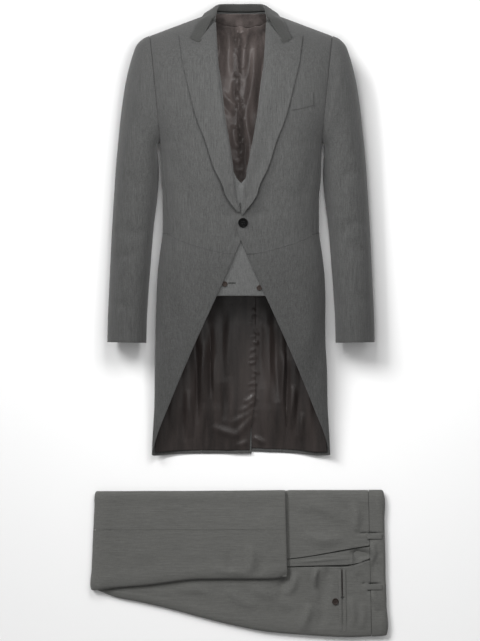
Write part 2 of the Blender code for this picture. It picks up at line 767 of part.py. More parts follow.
def collar_grids():
    """Collar round the neck, built for the wearer's left and mirrored on to the right."""
    def over_front(point):
        floor = front_point(point[0], min(point[1], shoulder_y(point[0])))[2] + COLLAR_FALL_LIFT
        return np.array([point[0], point[1], max(point[2], floor)])

    def over_back(point):
        ceiling = back_point(point[0], min(point[1], BACK_NECK_Y - 2))[2] - COLLAR_BACK_LIFT
        return np.array([point[0], point[1], max(min(point[2], ceiling), 0.5)])

    half_outer, half_under = [], []
    for number, row in enumerate(COLLAR):
        front = number > COLLAR_FRONT_ROW
        place = front_point if front else back_point
        seam = place(row.seam_x, min(row.seam_y, shoulder_y(row.seam_x)))
        seam[1] = row.seam_y
        if number == COLLAR_FRONT_ROW:
            seam[2] = mid_height(SHOULDER_Y)
            normal = np.array([0.3, 0.95, 0.0])
            edge = np.array([row.edge_x, row.edge_y, mid_height(SHOULDER_Y)])
            over = np.array
        else:
            lift = COLLAR_FALL_LIFT if front else COLLAR_BACK_LIFT
            edge = place(row.edge_x, row.edge_y, lift)
            bare = place(row.edge_x, row.edge_y)
            normal = unit(edge - bare)
            over = over_front if front else over_back
        fold = np.array([row.fold_x, row.fold_y, row.fold_z])
        outer, under = collar_section(seam, fold, edge, None, normal, over)
        half_outer.append(outer)
        half_under.append(under)
    fold = front_point(LEAF_FOLD_X, LEAF_FOLD_Y, 7.0)
    seam = front_point(LEAF_FOLD_X - 3.0, LEAF_FOLD_Y + 1.0, 0.6)
    notch = front_point(LEAF_NOTCH_X, LEAF_NOTCH_Y, COLLAR_FALL_LIFT)
    tip = front_point(LEAF_TIP_X, LEAF_TIP_Y, COLLAR_FALL_LIFT)
    normal = unit(tip - front_point(LEAF_TIP_X, LEAF_TIP_Y))
    outer, under = collar_section(seam, fold, tip, notch, normal, over_front)
    half_outer.append(outer)
    half_under.append(under)
    grids = []
    for half in (np.array(half_outer), np.array(half_under)):
        grids.append(np.concatenate([mirrored(half[:0:-1]), half]))
    return grids


def welt_places():
    places = []
    for s in (0.0, 0.5, 1.0):
        row = []
        for x in spread(WELT_LEFT_X, WELT_RIGHT_X, 6):
            along = (x - WELT_LEFT_X) / (WELT_RIGHT_X - WELT_LEFT_X)
            y = WELT_LEFT_Y + WELT_RISE_Y * along + WELT_HEIGHT * s
            row.append((angle_at(x, y), y))
        places.append(row)
    return places


# Sleeves


def power_wave(wave, power):
    return math.copysign(abs(wave) ** (2 / power), wave)


def sleeve_ring(row, number, shrink):
    """One section of the sleeve, made smaller by shrink for the inside of the cloth."""
    ring = []
    for k in range(SLEEVE_SEGMENTS):
        turn = 2 * math.pi * k / SLEEVE_SEGMENTS
        if number == 0:
            middle = (ARMPIT_Y + ARMHOLE_TOP_Y) / 2
            reach = (ARMHOLE_TOP_Y - ARMPIT_Y) / 2
            y = middle + (reach - shrink) * math.cos(turn)
            x = half_width(middle + reach * math.cos(turn)) + ARMHOLE_GAP
            z = mid_height(y) + (ARMHOLE_HALF_DEPTH - shrink) * math.sin(turn)
        else:
            outer = np.array([row.outer_x, row.outer_y])
            inner = np.array([row.inner_x, row.inner_y])
            half = np.linalg.norm(outer - inner) / 2
            reach = (outer - inner) / 2 * (half - shrink) / half
            x, y = (outer + inner) / 2 + reach * power_wave(math.cos(turn), SLEEVE_POWER)
            depth = (row.half_depth - shrink) * power_wave(math.sin(turn), SLEEVE_POWER)
            z = max(row.mid_height + depth, shrink)
        ring.append((x, y, z))
    return ring


def sleeve_grids(first, last):
    """Outer and inner grid of the part of the sleeve between two of its lengthwise lines."""
    columns = [k % SLEEVE_SEGMENTS for k in range(first, last + 1)]
    grids = []
    for shrink in (0.0, CLOTH):
        rings = np.array([sleeve_ring(row, i, shrink) for i, row in enumerate([None] + SLEEVE)])
        grids.append(pulled_in(rings[:, columns], ends=(False, False, True, True)))
    return grids


# Waistcoat

VEST_LEVELS = (VEST_HEM_Y, 410, 460, 510, 540, 576, VEST_V_Y, 660, 710, 760, 820, ROLL_START)
VEST_ROLL_STEPS = (0.4, 0.75, 1.0)
VEST_FRONT_COLUMNS = 9
VEST_BACK_COLUMNS = 13


def vest_levels():
    return list(VEST_LEVELS) + [ROLL_START + ROLL_SPAN * s for s in VEST_ROLL_STEPS]


def vest_armhole(level):
    """How far the waistcoat's edge has moved in from its side seam, in degrees."""
    strap = math.degrees(math.asin(VEST_STRAP_SHARE))
    return (VEST_SIDE_ANGLE - strap) * smoothstep(VEST_ARMHOLE_Y, VEST_ARMHOLE_TOP_Y, level)


def vest_front_places(overlap_x):
    places = []
    for level in vest_levels():
        y = level
        if level > ROLL_START:
            neck_x = VEST_V_SLOPE * (level - VEST_V_Y)
            y = blend(ROLL_START, shoulder_y(neck_x), (level - ROLL_START) / ROLL_SPAN)
        if y >= VEST_V_Y:
            edge_x = VEST_V_SLOPE * (y - VEST_V_Y)
        else:
            down = min(1.0, (VEST_V_Y - y) / (VEST_V_Y - VEST_OVERLAP_Y))
            edge_x = overlap_x * down
        left = angle_at(edge_x, level)
        right = VEST_SIDE_ANGLE - vest_armhole(level)
        places.append([(blend(left, right, t), level) for t in spread(0, 1, VEST_FRONT_COLUMNS)])
    return places


def vest_back_places():
    places = []
    for level in vest_levels():
        edge = VEST_BACK_ANGLE + vest_armhole(level)
        row = []
        for t in spread(0, 1, VEST_BACK_COLUMNS):
            angle = blend(edge, 360 - edge, t)
            x = abs(half_width(min(level, SHOULDER_Y)) * math.sin(math.radians(angle)))
            height = level
            if level > ROLL_START and x < VEST_NECK_X:
                ridge = shoulder_y(VEST_NECK_X)
                neck = VEST_NECK_BACK_Y + (ridge - VEST_NECK_BACK_Y) * (x / VEST_NECK_X) ** 2.5
                top = level_at(x, neck)
                height = blend(ROLL_START, top, (level - ROLL_START) / ROLL_SPAN)
            row.append((angle, height))
        places.append(row)
    return places


# Trousers: folded leg on leg, the waist to the right, the legs turned back at the knee

TrouserRow = namedtuple("TrouserRow", "x top_y bottom_y height")
TROUSERS = [
    TrouserRow(-340, -79.0, -299, 8.5),
    TrouserRow(-313, -79.0, -302, 8.5),
    TrouserRow(-284, -79.0, -315, 8.5),
    TrouserRow(-202, -78.5, -333, 9),
    TrouserRow(-130, -78.5, -351, 9),
    TrouserRow(-65, -78, -369, 9.5),
    TrouserRow(11, -77.5, -387, 10),
    TrouserRow(58, -77, -396, 10.5),
    TrouserRow(151, -76.5, -404, 12),
    TrouserRow(236, -76.5, -408.5, 13),
    TrouserRow(294, -76.5, -406, 13),
    TrouserRow(335, -76.5, -403, 13),
]
LegRow = namedtuple("LegRow", "x bottom_y")
TURNED_LEG = [
    LegRow(-340, -304),
    LegRow(-313, -302),
    LegRow(-286, -297.5),
    LegRow(-234, -294),
    LegRow(-169, -286),
    LegRow(-88, -277.5),
    LegRow(105, -277),
]
KNEE_X = -328.5
KNEE_LEAN = -0.0455
WAIST_X = 321.8
WAIST_LEAN = 0.026
LEG_HEM_X = 99.7
LEG_HEM_LEAN = 0.0245
WAISTBAND_WIDTH = 35.0
WAISTBAND_LIFT = 0.9
TURNED_LEG_HEIGHT = 7.5
LEG_SEAM_Y = -166.5
HIDDEN_REACH = 30.0
HIDDEN_SEAM_X = 70.0
EDGE_ROUND = 3.6
LAYER_GROOVE = 1.7
SHEET_OFFSET = SEAM_GAP + CLOTH
LEG_BASE_GAP = SHEET_OFFSET + LAYER_GAP
SLAB_EASE = 0.8
KNEE_EASE = 2.4
CORE_INSET = 55.0

PocketRow = namedtuple("PocketRow", "x front_y back_y")
SIDE_POCKET = [
    PocketRow(60, -235, -252),
    PocketRow(112, -231, -250.5),
    PocketRow(250, -207.5, -247.5),
    PocketRow(272, -203.5, -240),
    PocketRow(300, -200, -228),
]
POCKET_END_X = 252.0
POCKET_SINK = 1.2
JET_WIDTH = 7.4
JET_THICKNESS = 1.6
JET_TOP_Y = -255.0
JET_BOTTOM_Y = -396.0
JET_LEFT_X = 218.5
JET_STEP = 10.0
JET_LEAN = 0.02
LOOP_THICKNESS = 1.8
LOOP_WIDTH = 12.5
LOOP_Y = (-181.5, -295.5)
POCKET_BUTTON_X = 212.5
POCKET_BUTTON_Y = -328.0

trouser_top = Curve(TROUSERS, "top_y", "x")
trouser_bottom = Curve(TROUSERS, "bottom_y", "x")
trouser_height = Curve(TROUSERS, "height", "x")
leg_bottom = Curve(TURNED_LEG, "bottom_y", "x")
pocket_front_y = Curve(SIDE_POCKET, "front_y", "x")
pocket_back_y = Curve(SIDE_POCKET, "back_y", "x")

Station = namedtuple("Station", "x z out_x out_z")


def leg_top_z(x):
    """Height of the hidden layers' top under the turned-back leg."""
    return trouser_height(x) + LEG_BASE_GAP + TURNED_LEG_HEIGHT


def lean_at(x, y, high_x, high_lean):
    """Sideways lean at y, between the knee fold and an end that leans its own way."""
    share = min(max((x - KNEE_X) / (high_x - KNEE_X), 0.0), 1.0)
    return (TROUSERS[0].top_y - y) * blend(KNEE_LEAN, high_lean, share)


def folded_sheet(stations, across, top_y, bottom_y, end, offset):
    """Skin that lies offset above folded layers and turns down over their long edges.

    across holds (kind, value) for each column: "top" and "bottom" turn by value degrees over that
    edge, and "at" gives y as a function of x.
    """
    radius = EDGE_ROUND + offset
    rows = []
    for station in stations:
        row = []
        for kind, value in across:
            rise = offset
            if kind == "at":
                y = value(station.x)
            else:
                turn = math.radians(value)
                inset = SHEET_OFFSET + EDGE_ROUND - radius * math.sin(turn)
                y = top_y(station.x) - inset if kind == "top" else bottom_y(station.x) + inset
                rise = radius * math.cos(turn) - EDGE_ROUND
            x = station.x + lean_at(station.x, y, *end) + station.out_x * rise
            row.append((x, y, station.z + station.out_z * rise))
        rows.append(row)
    return np.array(rows)


def layered_side(height, layers, steps=4):
    """Inset and height of an edge with one bulge for each layer, from the bottom up."""
    side = []
    thick = height / layers
    for layer in range(layers):
        for step in range(steps):
            turn = math.pi * (step + 0.5) / steps
            side.append((LAYER_GROOVE * (1 - math.sin(turn)), thick * (layer + (1 - math.cos(turn)) / 2)))
    side[0] = (side[0][0], 0.0)
    side[-1] = (side[-1][0], height)
    rounded = []
    for inset, z in side:
        near = max(0.0, (z - height + EDGE_ROUND) / EDGE_ROUND)
        rounded.append((max(inset, EDGE_ROUND * (1 - math.sqrt(max(0.0, 1 - near * near)))), z))
    return rounded


def layered_slab(stations, top_y, bottom_y, base, height, end, nose_radius, nose_z):
    """Closed solid through sections across the cloth, with layered edges and a rounded knee."""
    shape = bmesh.new()
    rings = []
    for x in stations:
        side = layered_side(height(x), 2)
        low, high = bottom_y(x) + SHEET_OFFSET + SLAB_EASE, top_y(x) - SHEET_OFFSET - SLAB_EASE
        outline = [(low + inset, z) for inset, z in side]
        outline += [(high - inset, z) for inset, z in reversed(side)]
        ring = []
        for y, z in outline:
            z += base(x)
            push = 0.0
            if x < KNEE_X + nose_radius:
                push = nose_radius - math.sqrt(max(0.0, nose_radius ** 2 - (z - nose_z) ** 2))
            ring.append(shape.verts.new((x + lean_at(x, y, *end) + push, y, z)))
        rings.append(ring)
    count = len(rings[0])
    for first, second in zip(rings, rings[1:]):
        for k in range(count):
            m = (k + 1) % count
            shape.faces.new((first[k], first[m], second[m], second[k]))
    shape.faces.new(list(reversed(rings[0])))
    shape.faces.new(rings[-1])
    bmesh.ops.recalc_face_normals(shape, faces=shape.faces)
    return shape


KNEE_RADIUS = leg_top_z(KNEE_X) / 2
LEG_STATIONS = spread(KNEE_X + SHEET_OFFSET + KNEE_RADIUS, LEG_HEM_X, 9)
SEAT_STATIONS = spread(KNEE_X + SHEET_OFFSET + KNEE_RADIUS, WAIST_X - WAISTBAND_WIDTH, 14)
WAIST_END = (WAIST_X, WAIST_LEAN)
HEM_END = (LEG_HEM_X, LEG_HEM_LEAN)


def flat_stations(places, height):
    return [Station(x, height(x), 0.0, 1.0) for x in places]


def knee_stations(turns):
    """Stations round the knee fold, from near the floor to the top."""
    stations = []
    for degrees in turns:
        turn = math.radians(degrees)
        x = KNEE_X + SHEET_OFFSET + KNEE_RADIUS * (1 - math.sin(turn))
        stations.append(Station(x, KNEE_RADIUS * (1 + math.cos(turn)), -math.sin(turn), math.cos(turn)))
    return stations


def waist_stations():
    """Stations along the waistband, whose outer end turns down."""
    places = spread(WAIST_X - WAISTBAND_WIDTH + SEAM_GAP, WAIST_X - SHEET_OFFSET - EDGE_ROUND - 1, 3)
    stations = flat_stations(places, lambda x: trouser_height(x) + WAISTBAND_LIFT)
    for degrees in (25, 55, 90):
        turn = math.radians(degrees)
        x = WAIST_X - SHEET_OFFSET - WAISTBAND_LIFT - EDGE_ROUND * (1 - math.sin(turn))
        z = trouser_height(x) + WAISTBAND_LIFT - EDGE_ROUND * (1 - math.cos(turn))
        stations.append(Station(x, z, math.sin(turn), math.cos(turn)))
    return stations


def between(first, second, shares):
    """Columns that run from one line to another, each given as y by x."""
    return [("at", lambda x, s=s: blend(first(x), second(x), s)) for s in shares]


def edge_in(edge, sign):
    """Line just inside a long edge, where its rounding starts."""
    return lambda x: edge(x) - sign * (SHEET_OFFSET + EDGE_ROUND)


EDGE_TURNS = (0, 35, 65, 92)


def folded_grids(stations, across, top_y, bottom_y, end, thickness=CLOTH, lift=0.0):
    """Outer and under skin of one visible piece of the folded trousers."""
    outer = folded_sheet(stations, across, top_y, bottom_y, end, SEAM_GAP + lift + thickness)
    under = folded_sheet(stations, across, top_y, bottom_y, end, SEAM_GAP + lift)
    return pulled_in(outer), pulled_in(under)


def turned_leg_grids(front):
    """Front or back panel of the turned-back leg, round the knee and up to its hem."""
    stations = knee_stations((138, 115, 90, 60, 30)) + flat_stations(LEG_STATIONS, leg_top_z)
    if front:
        across = [("top", turn) for turn in reversed(EDGE_TURNS)]
        across += between(edge_in(trouser_top, 1), lambda x: LEG_SEAM_Y, (0.33, 0.67, 1.0))
    else:
        across = between(lambda x: LEG_SEAM_Y, edge_in(leg_bottom, -1), (0.0, 0.33, 0.67))
        across += [("bottom", turn) for turn in EDGE_TURNS]
    return folded_grids(stations, across, trouser_top, leg_bottom, HEM_END)


def seat_grids(front):
    """Front or back panel of the leg that lies below, from under the turned-back leg to the waist."""
    places = [x for x in SEAT_STATIONS if x > HIDDEN_SEAM_X - 40 or not front]
    stations = flat_stations(places, trouser_height)
    if front:
        across = [("top", turn) for turn in reversed(EDGE_TURNS)]
        across += between(edge_in(trouser_top, 1), pocket_front_y, (0.33, 0.67, 1.0))
    else:
        def upper(x):
            hidden = leg_bottom(x) + HIDDEN_REACH
            return blend(hidden, pocket_back_y(x), smoothstep(HIDDEN_SEAM_X - 20, HIDDEN_SEAM_X + 20, x))
        across = between(upper, edge_in(trouser_bottom, -1), (0.0, 0.25, 0.5, 0.75))
        across += [("bottom", turn) for turn in EDGE_TURNS]
    return folded_grids(stations, across, trouser_top, trouser_bottom, WAIST_END)


def side_pocket_grids():
    """Pocket facing that shows between front and back, sunk where the opening gapes."""
    stations = []
    places = spread(HIDDEN_SEAM_X + 25, WAIST_X - WAISTBAND_WIDTH, 9)
    for station in flat_stations(places, trouser_height):
        sink = POCKET_SINK * smoothstep(POCKET_END_X - 4, POCKET_END_X + 4, station.x)
        stations.append(station._replace(z=station.z - sink + POCKET_SINK))
    across = between(pocket_front_y, pocket_back_y, (0.07, 0.45, 0.55, 0.93))
    return folded_grids(stations, across, trouser_top, trouser_bottom, WAIST_END, thickness=SATIN, lift=0.0)


def waistband_grids():
    across = [("top", turn) for turn in reversed(EDGE_TURNS)]
    across += between(edge_in(trouser_top, 1), edge_in(trouser_bottom, -1), (0.2, 0.4, 0.6, 0.8))
    across += [("bottom", turn) for turn in EDGE_TURNS]
    return folded_grids(waist_stations(), across, trouser_top, trouser_bottom, WAIST_END, DOUBLED_CLOTH)


def strip_grids(x_low, x_high, y_low, y_high, floor, thickness, lean=0.0):
    """Narrow band laid flat on a height, with a lean from its upper to its lower end."""
    outer, under = [], []
    for x in spread(x_low, x_high, 4):
        outer_row, under_row = [], []
        for y in spread(y_low, y_high, 6):
            shift = lean * (y_high - y)
            edge = 0.5 if x in (x_low, x_high) or y in (y_low, y_high) else 0.0
            base = floor(x + shift) + LAYER_GAP
            outer_row.append((x + shift, y, base + thickness - edge))
            under_row.append((x + shift, y, base))
        outer.append(outer_row)
        under.append(under_row)
    return np.array(outer), np.array(under)


def seat_surface_z(x):
    return trouser_height(x) + SHEET_OFFSET


def waistband_surface_z(x):
    return trouser_height(x) + WAISTBAND_LIFT + SEAM_GAP + DOUBLED_CLOTH + WAISTBAND_LIFT / 2


# Buttons


def add_button(name, diameter, thickness, place, normal, holes, colours, collections, parent):
    """Turned button with a raised rim; holes is how many are cut through it."""
    collection, cutters = collections
    radius = diameter / 2
    profile = [
        (radius * 0.62, thickness * 0.62),
        (radius * 0.74, thickness * 0.9),
        (radius * 0.86, thickness),
        (radius, thickness * 0.72),
        (radius, thickness * 0.3),
        (radius * 0.86, 0.0),
    ]
    shape = bmesh.new()
    line = [(0.0, thickness * 0.62)] + profile + [(0.0, 0.0)]
    verts = [shape.verts.new((r * MM, 0.0, z * MM)) for r, z in line]
    for first, second in zip(verts, verts[1:]):
        shape.edges.new((first, second))
    mesh = bpy.data.meshes.new(name)
    shape.to_mesh(mesh)
    shape.free()
    mesh.materials.append(new_material(name, *colours))
    button = bpy.data.objects.new(name, mesh)
    collection.objects.link(button)
    button.parent = parent
    screw = button.modifiers.new("Turned", "SCREW")
    screw.axis = "Z"
    screw.steps = BUTTON_STEPS
    screw.render_steps = BUTTON_STEPS
    screw.use_merge_vertices = True
    screw.merge_threshold = 0.00001
    button.location = Vector(place) * MM
    button.rotation_euler = Vector(normal).to_track_quat("Z", "Y").to_euler()
    if holes:
        cutter_shape = bmesh.new()
        for k in range(holes):
            turn = math.pi * (2 * k + 1) / holes
            made = bmesh.ops.create_cone(cutter_shape, cap_ends=True, segments=6, radius1=radius * 0.1 * MM,
                                         radius2=radius * 0.1 * MM, depth=thickness * 4 * MM)
            shift = Vector((math.cos(turn), math.sin(turn), 0.0)) * radius * 0.27 * MM
            bmesh.ops.translate(cutter_shape, vec=shift, verts=made["verts"])
        cutter_mesh = bpy.data.meshes.new(name + "_holes")
        cutter_shape.to_mesh(cutter_mesh)
        cutter_shape.free()
        cutter = bpy.data.objects.new(name + "_holes", cutter_mesh)
        cutters.objects.link(cutter)
        cutter.parent = button
        cutter.hide_render = True
        cutter.display_type = "WIRE"
        cut = button.modifiers.new("Holes", "BOOLEAN")
        cut.operation = "DIFFERENCE"
        cut.solver = "EXACT"
        cut.object = cutter
    return button


# The whole suit


def add_wall(name, grids, colour, roughness, collection, parent):
    return add_object(name, wall(*grids), colour, roughness, collection, parent)


def build_coat(collections, parent):
    collection = collections[0]
    wool = (GREY_WOOL, 0.85)
    forepart = sheet_wall(forepart_places(OVERLAP_X), lap, CLOTH)
    add_wall("coat_forepart_l", forepart, *wool, collection, parent)
    underlap = sheet_wall(forepart_places(-UNDERLAP_X), 0.0, CLOTH)
    add_wall("coat_forepart_r", [mirrored(g) for g in underlap], *wool, collection, parent)
    side_body = sheet_wall(side_body_places(), 0.0, CLOTH)
    add_wall("coat_side_body_l", side_body, *wool, collection, parent)
    add_wall("coat_side_body_r", [mirrored(g) for g in side_body], *wool, collection, parent)
    for side, letter in ((1, "l"), (-1, "r")):
        reach = 0.0 if side > 0 else VENT_OVERLAP
        rise = 0.0 if side > 0 else vent_rise
        back = sheet_wall(back_places(side, reach), rise, CLOTH)
        skirt = sheet_wall(skirt_places(side), 0.0, CLOTH)
        def under(x, y, side=side):
            lined = vent_rise(x, y, LINING_RAMP_START) if side < 0 else 0.0
            ease = LINING_EASE * smoothstep(90, 180, x)
            return lined - CLOTH - LAYER_GAP - ease - lining_folds(x, y)
        lining = sheet_wall(lining_places(side, max(0.0, reach - 4)), under, SATIN)
        lapel = [pulled_in(g) for g in lapel_grids(LAPEL_START_L if side > 0 else LAPEL_START_R, side)]
        pieces = {"back": (back, *wool), "skirt": (skirt, *wool), "lining": (lining, BROWN_SATIN, 0.35),
                  "lapel": (lapel, GREY_WOOL, 0.8)}
        pieces["top_sleeve"] = (sleeve_grids(SLEEVE_SEAM_BACK, SLEEVE_SEAM_FRONT + SLEEVE_SEGMENTS), *wool)
        pieces["under_sleeve"] = (sleeve_grids(SLEEVE_SEAM_FRONT, SLEEVE_SEAM_BACK), *wool)
        for piece, (grids, colour, roughness) in pieces.items():
            if side < 0:
                grids = [mirrored(g) for g in grids]
            add_wall("coat_" + piece + "_" + letter, grids, colour, roughness, collection, parent)
    add_wall("coat_collar", collar_grids(), DARK_WOOL, 0.85, collection, parent)
    welt = sheet_wall(welt_places(), LAYER_GAP + CLOTH, CLOTH)
    add_wall("coat_chest_welt", welt, *wool, collection, parent)
    place = front_point(BUTTON_X, BUTTON_Y, LAP_RISE + LAYER_GAP)
    normal = body_normal(angle_at(BUTTON_X, BUTTON_Y), BUTTON_Y)
    add_button("coat_button", COAT_BUTTON_D, COAT_BUTTON_T, place, normal, 4, (BLACK_HORN, 0.25),
               collections, parent)


def build_waistcoat(collections, parent):
    collection = collections[0]
    left = sheet_wall(vest_front_places(VEST_OVERLAP_X), -VEST_LEFT_DEPTH, CLOTH)
    add_wall("waistcoat_front_l", left, PALE_WOOL, 0.85, collection, parent)
    right = sheet_wall(vest_front_places(VEST_UNDERLAP_X), -VEST_RIGHT_DEPTH, CLOTH)
    add_wall("waistcoat_front_r", [mirrored(g) for g in right], PALE_WOOL, 0.85, collection, parent)
    back = sheet_wall(vest_back_places(), -VEST_BACK_DEPTH, SATIN)
    add_wall("waistcoat_back", back, BROWN_SATIN, 0.35, collection, parent)
    for number, (x, y) in enumerate(VEST_BUTTON_PLACES, 1):
        place = front_point(x, y, LAYER_GAP - VEST_LEFT_DEPTH)
        normal = body_normal(angle_at(x, y), y)
        add_button("waistcoat_button_" + str(number), VEST_BUTTON_D, VEST_BUTTON_T, place, normal, 0,
                   (BROWN_HORN, 0.35), collections, parent)


def joined(shapes):
    """One closed bmesh from overlapping closed ones."""
    objects = []
    for shape in shapes:
        mesh = bpy.data.meshes.new("layers")
        shape.to_mesh(mesh)
        shape.free()
        piece = bpy.data.objects.new("layers", mesh)
        bpy.context.scene.collection.objects.link(piece)
        objects.append(piece)
    for other in objects[1:]:
        union = objects[0].modifiers.new("Joined", "BOOLEAN")
        union.operation = "UNION"
        union.solver = "EXACT"
        union.object = other
    result = bmesh.new()
    result.from_object(objects[0], bpy.context.evaluated_depsgraph_get())
    for piece in objects:
        bpy.data.objects.remove(piece)
    return result


def trouser_layers():
    """The hidden layers: the lower leg pair, the turned-back pair, and the core that joins them."""
    low = KNEE_X + SHEET_OFFSET + KNEE_EASE
    waist_end = WAIST_X - SHEET_OFFSET - EDGE_ROUND - SLAB_EASE
    places = [low] + SEAT_STATIONS + [WAIST_X - WAISTBAND_WIDTH / 2, waist_end]
    lower = layered_slab(places, trouser_top, trouser_bottom, lambda x: 0.0, trouser_height, WAIST_END,
                         KNEE_RADIUS, KNEE_RADIUS)
    upper = layered_slab([low] + LEG_STATIONS[:-1] + [LEG_HEM_X - 2], trouser_top, leg_bottom,
                         lambda x: trouser_height(x) + LEG_BASE_GAP, lambda x: TURNED_LEG_HEIGHT, HEM_END,
                         KNEE_RADIUS, KNEE_RADIUS)
    core = bmesh.new()
    bmesh.ops.create_cube(core, size=1.0)
    left, right = low + CORE_INSET, HIDDEN_SEAM_X - CORE_INSET
    bottom, top = leg_bottom(0) + CORE_INSET, TROUSERS[0].top_y - CORE_INSET
    core_low, core_high = TURNED_LEG_HEIGHT / 2, trouser_height(0) + LEG_BASE_GAP + TURNED_LEG_HEIGHT / 2
    bmesh.ops.scale(core, vec=Vector((right - left, top - bottom, core_high - core_low)), verts=core.verts)
    middle = Vector(((left + right) / 2, (top + bottom) / 2, (core_low + core_high) / 2))
    bmesh.ops.translate(core, vec=middle, verts=core.verts)
    return joined([lower, core, upper])


def build_trousers(collections, parent):
    collection = collections[0]
    wool = (WARM_WOOL, 0.85)
    add_object("trousers_layers", trouser_layers(), *wool, collection, parent)
    add_wall("trousers_front_l", seat_grids(True), *wool, collection, parent)
    add_wall("trousers_back_l", seat_grids(False), *wool, collection, parent)
    add_wall("trousers_front_r", turned_leg_grids(True), *wool, collection, parent)
    add_wall("trousers_back_r", turned_leg_grids(False), *wool, collection, parent)
    add_wall("trousers_side_pocket", side_pocket_grids(), *wool, collection, parent)
    add_wall("trousers_waistband", waistband_grids(), *wool, collection, parent)
    for number, y in enumerate(LOOP_Y, 1):
        loop = strip_grids(WAIST_X - WAISTBAND_WIDTH - 4, WAIST_X - 4, y - LOOP_WIDTH / 2, y + LOOP_WIDTH / 2,
                           waistband_surface_z, LOOP_THICKNESS)
        add_wall("trousers_belt_loop_" + str(number), loop, *wool, collection, parent)
    for number in (1, 2):
        x = JET_LEFT_X + JET_STEP * (number - 1)
        jet = strip_grids(x, x + JET_WIDTH, JET_BOTTOM_Y, JET_TOP_Y, seat_surface_z, JET_THICKNESS, JET_LEAN)
        add_wall("trousers_back_pocket_" + str(number), jet, *wool, collection, parent)
    place = (POCKET_BUTTON_X, POCKET_BUTTON_Y, seat_surface_z(POCKET_BUTTON_X) + LAYER_GAP)
    add_button("trousers_pocket_button", POCKET_BUTTON_D, POCKET_BUTTON_T, place, (0, 0, 1), 4,
               (BROWN_HORN, 0.3), collections, parent)


def centre_on_origin(parent, collection):
    """Moves the whole suit so that the middle of its box stands over the origin."""
    bpy.context.view_layer.update()
    graph = bpy.context.evaluated_depsgraph_get()
    corners = []
    for piece in collection.objects:
        if piece.type == "MESH":
            whole = piece.evaluated_get(graph)
            corners += [whole.matrix_world @ Vector(corner) for corner in whole.bound_box]
    low = Vector([min(c[i] for c in corners) for i in range(3)])
    high = Vector([max(c[i] for c in corners) for i in range(3)])
    parent.location = (-(low.x + high.x) / 2, -(low.y + high.y) / 2, 0.0)


def main():
    for leftover in list(bpy.data.objects):
        bpy.data.objects.remove(leftover)
    collections = []
    for name in ("wool_suit", "cutters"):
        collection = bpy.data.collections.new(name)
        bpy.context.scene.collection.children.link(collection)
        collections.append(collection)
    suit = bpy.data.objects.new("suit_origin", None)
    collections[0].objects.link(suit)
    build_coat(collections, suit)
    build_waistcoat(collections, suit)
    build_trousers(collections, suit)
    centre_on_origin(suit, collections[0])


main()
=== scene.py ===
"""Looks of the grey wool morning suit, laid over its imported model.

Shapes are worked out in the part's own sizes, in millimetres: y = 0 is the lowest point of the
tails and x = 0 the coat's centre line. Each piece of cloth is a thin shell on its solid's form.
"""

import json
import math
from collections import namedtuple

import bmesh
import bpy
import numpy as np
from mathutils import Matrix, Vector

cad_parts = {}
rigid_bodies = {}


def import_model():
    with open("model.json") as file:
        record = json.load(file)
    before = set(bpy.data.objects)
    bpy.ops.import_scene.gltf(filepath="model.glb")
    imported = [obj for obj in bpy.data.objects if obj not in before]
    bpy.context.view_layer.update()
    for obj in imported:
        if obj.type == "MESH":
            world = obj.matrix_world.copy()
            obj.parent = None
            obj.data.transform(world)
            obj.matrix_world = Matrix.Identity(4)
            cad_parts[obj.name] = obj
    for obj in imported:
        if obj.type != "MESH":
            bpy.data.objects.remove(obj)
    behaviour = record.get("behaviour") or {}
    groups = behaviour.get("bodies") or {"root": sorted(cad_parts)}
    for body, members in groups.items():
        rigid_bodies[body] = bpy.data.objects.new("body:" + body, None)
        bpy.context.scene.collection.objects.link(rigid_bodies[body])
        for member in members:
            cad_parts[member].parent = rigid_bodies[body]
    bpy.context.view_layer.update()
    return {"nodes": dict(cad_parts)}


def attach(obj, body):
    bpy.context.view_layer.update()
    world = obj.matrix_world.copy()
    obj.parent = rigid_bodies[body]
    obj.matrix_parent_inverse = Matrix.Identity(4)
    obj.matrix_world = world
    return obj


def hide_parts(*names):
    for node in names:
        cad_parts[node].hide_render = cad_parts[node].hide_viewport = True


for leftover in list(bpy.data.objects):
    bpy.data.objects.remove(leftover)
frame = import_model()

MM = 0.001
NEARLY = 1e-6
NO_LENGTH = 1e-9


def table(fields, *rows):
    """Rows of measures, each with its fields by name."""
    row_type = namedtuple("Row", fields)
    return [row_type(*row) for row in rows]


# Cloth and clearances
CLOTH = 2.0
SATIN = 1.1
DOUBLED_CLOTH = 2.4
SEAM_GAP = 0.3
LAYER_GAP = 0.4

# Coat body: half width, height of the widest line, and rise of the front above it
BODY = table(
    "y half_width mid_height front_rise",
    (0, 201, 27, 20), (45, 199, 31, 27), (117, 195, 39, 38), (190, 194, 48, 50),
    (261, 192.5, 56, 61), (333, 191, 63, 71), (405, 188, 70, 80), (450, 183, 74, 85),
    (515, 175.5, 77, 89), (585, 175.5, 81, 94), (621, 179.5, 84, 98), (715, 183, 90, 104),
    (783, 189, 92, 105), (855, 196, 92, 101), (886, 199, 91, 98), (945, 205, 88, 93),
)
FRONT_POWER = 2.3
BACK_POWER = 2.9
BACK_DROP = 1.06
EDGE_LIMIT = 0.97
TURN_LIMIT = 0.9999
NORMAL_STEP = 0.5
RIDGE_CLEAR = 0.05
ROLL_AWAY_Y = 40.0

# Shoulders: the body rolls over from ROLL_START to the ridge where front and back meet
ROLL_START = 886.0
ROLL_SPAN = 60.0
RIDGE_LEVEL = ROLL_START + ROLL_SPAN
FRONT_ROLL_POWER = 1.6
BACK_ROLL_POWER = 1.8
SHOULDER_X = 205.0
SHOULDER_Y = 945.0
SHOULDER_SLOPE = 0.375
NECK_X = 64.0
RIDGE_END_X = NECK_X - 24

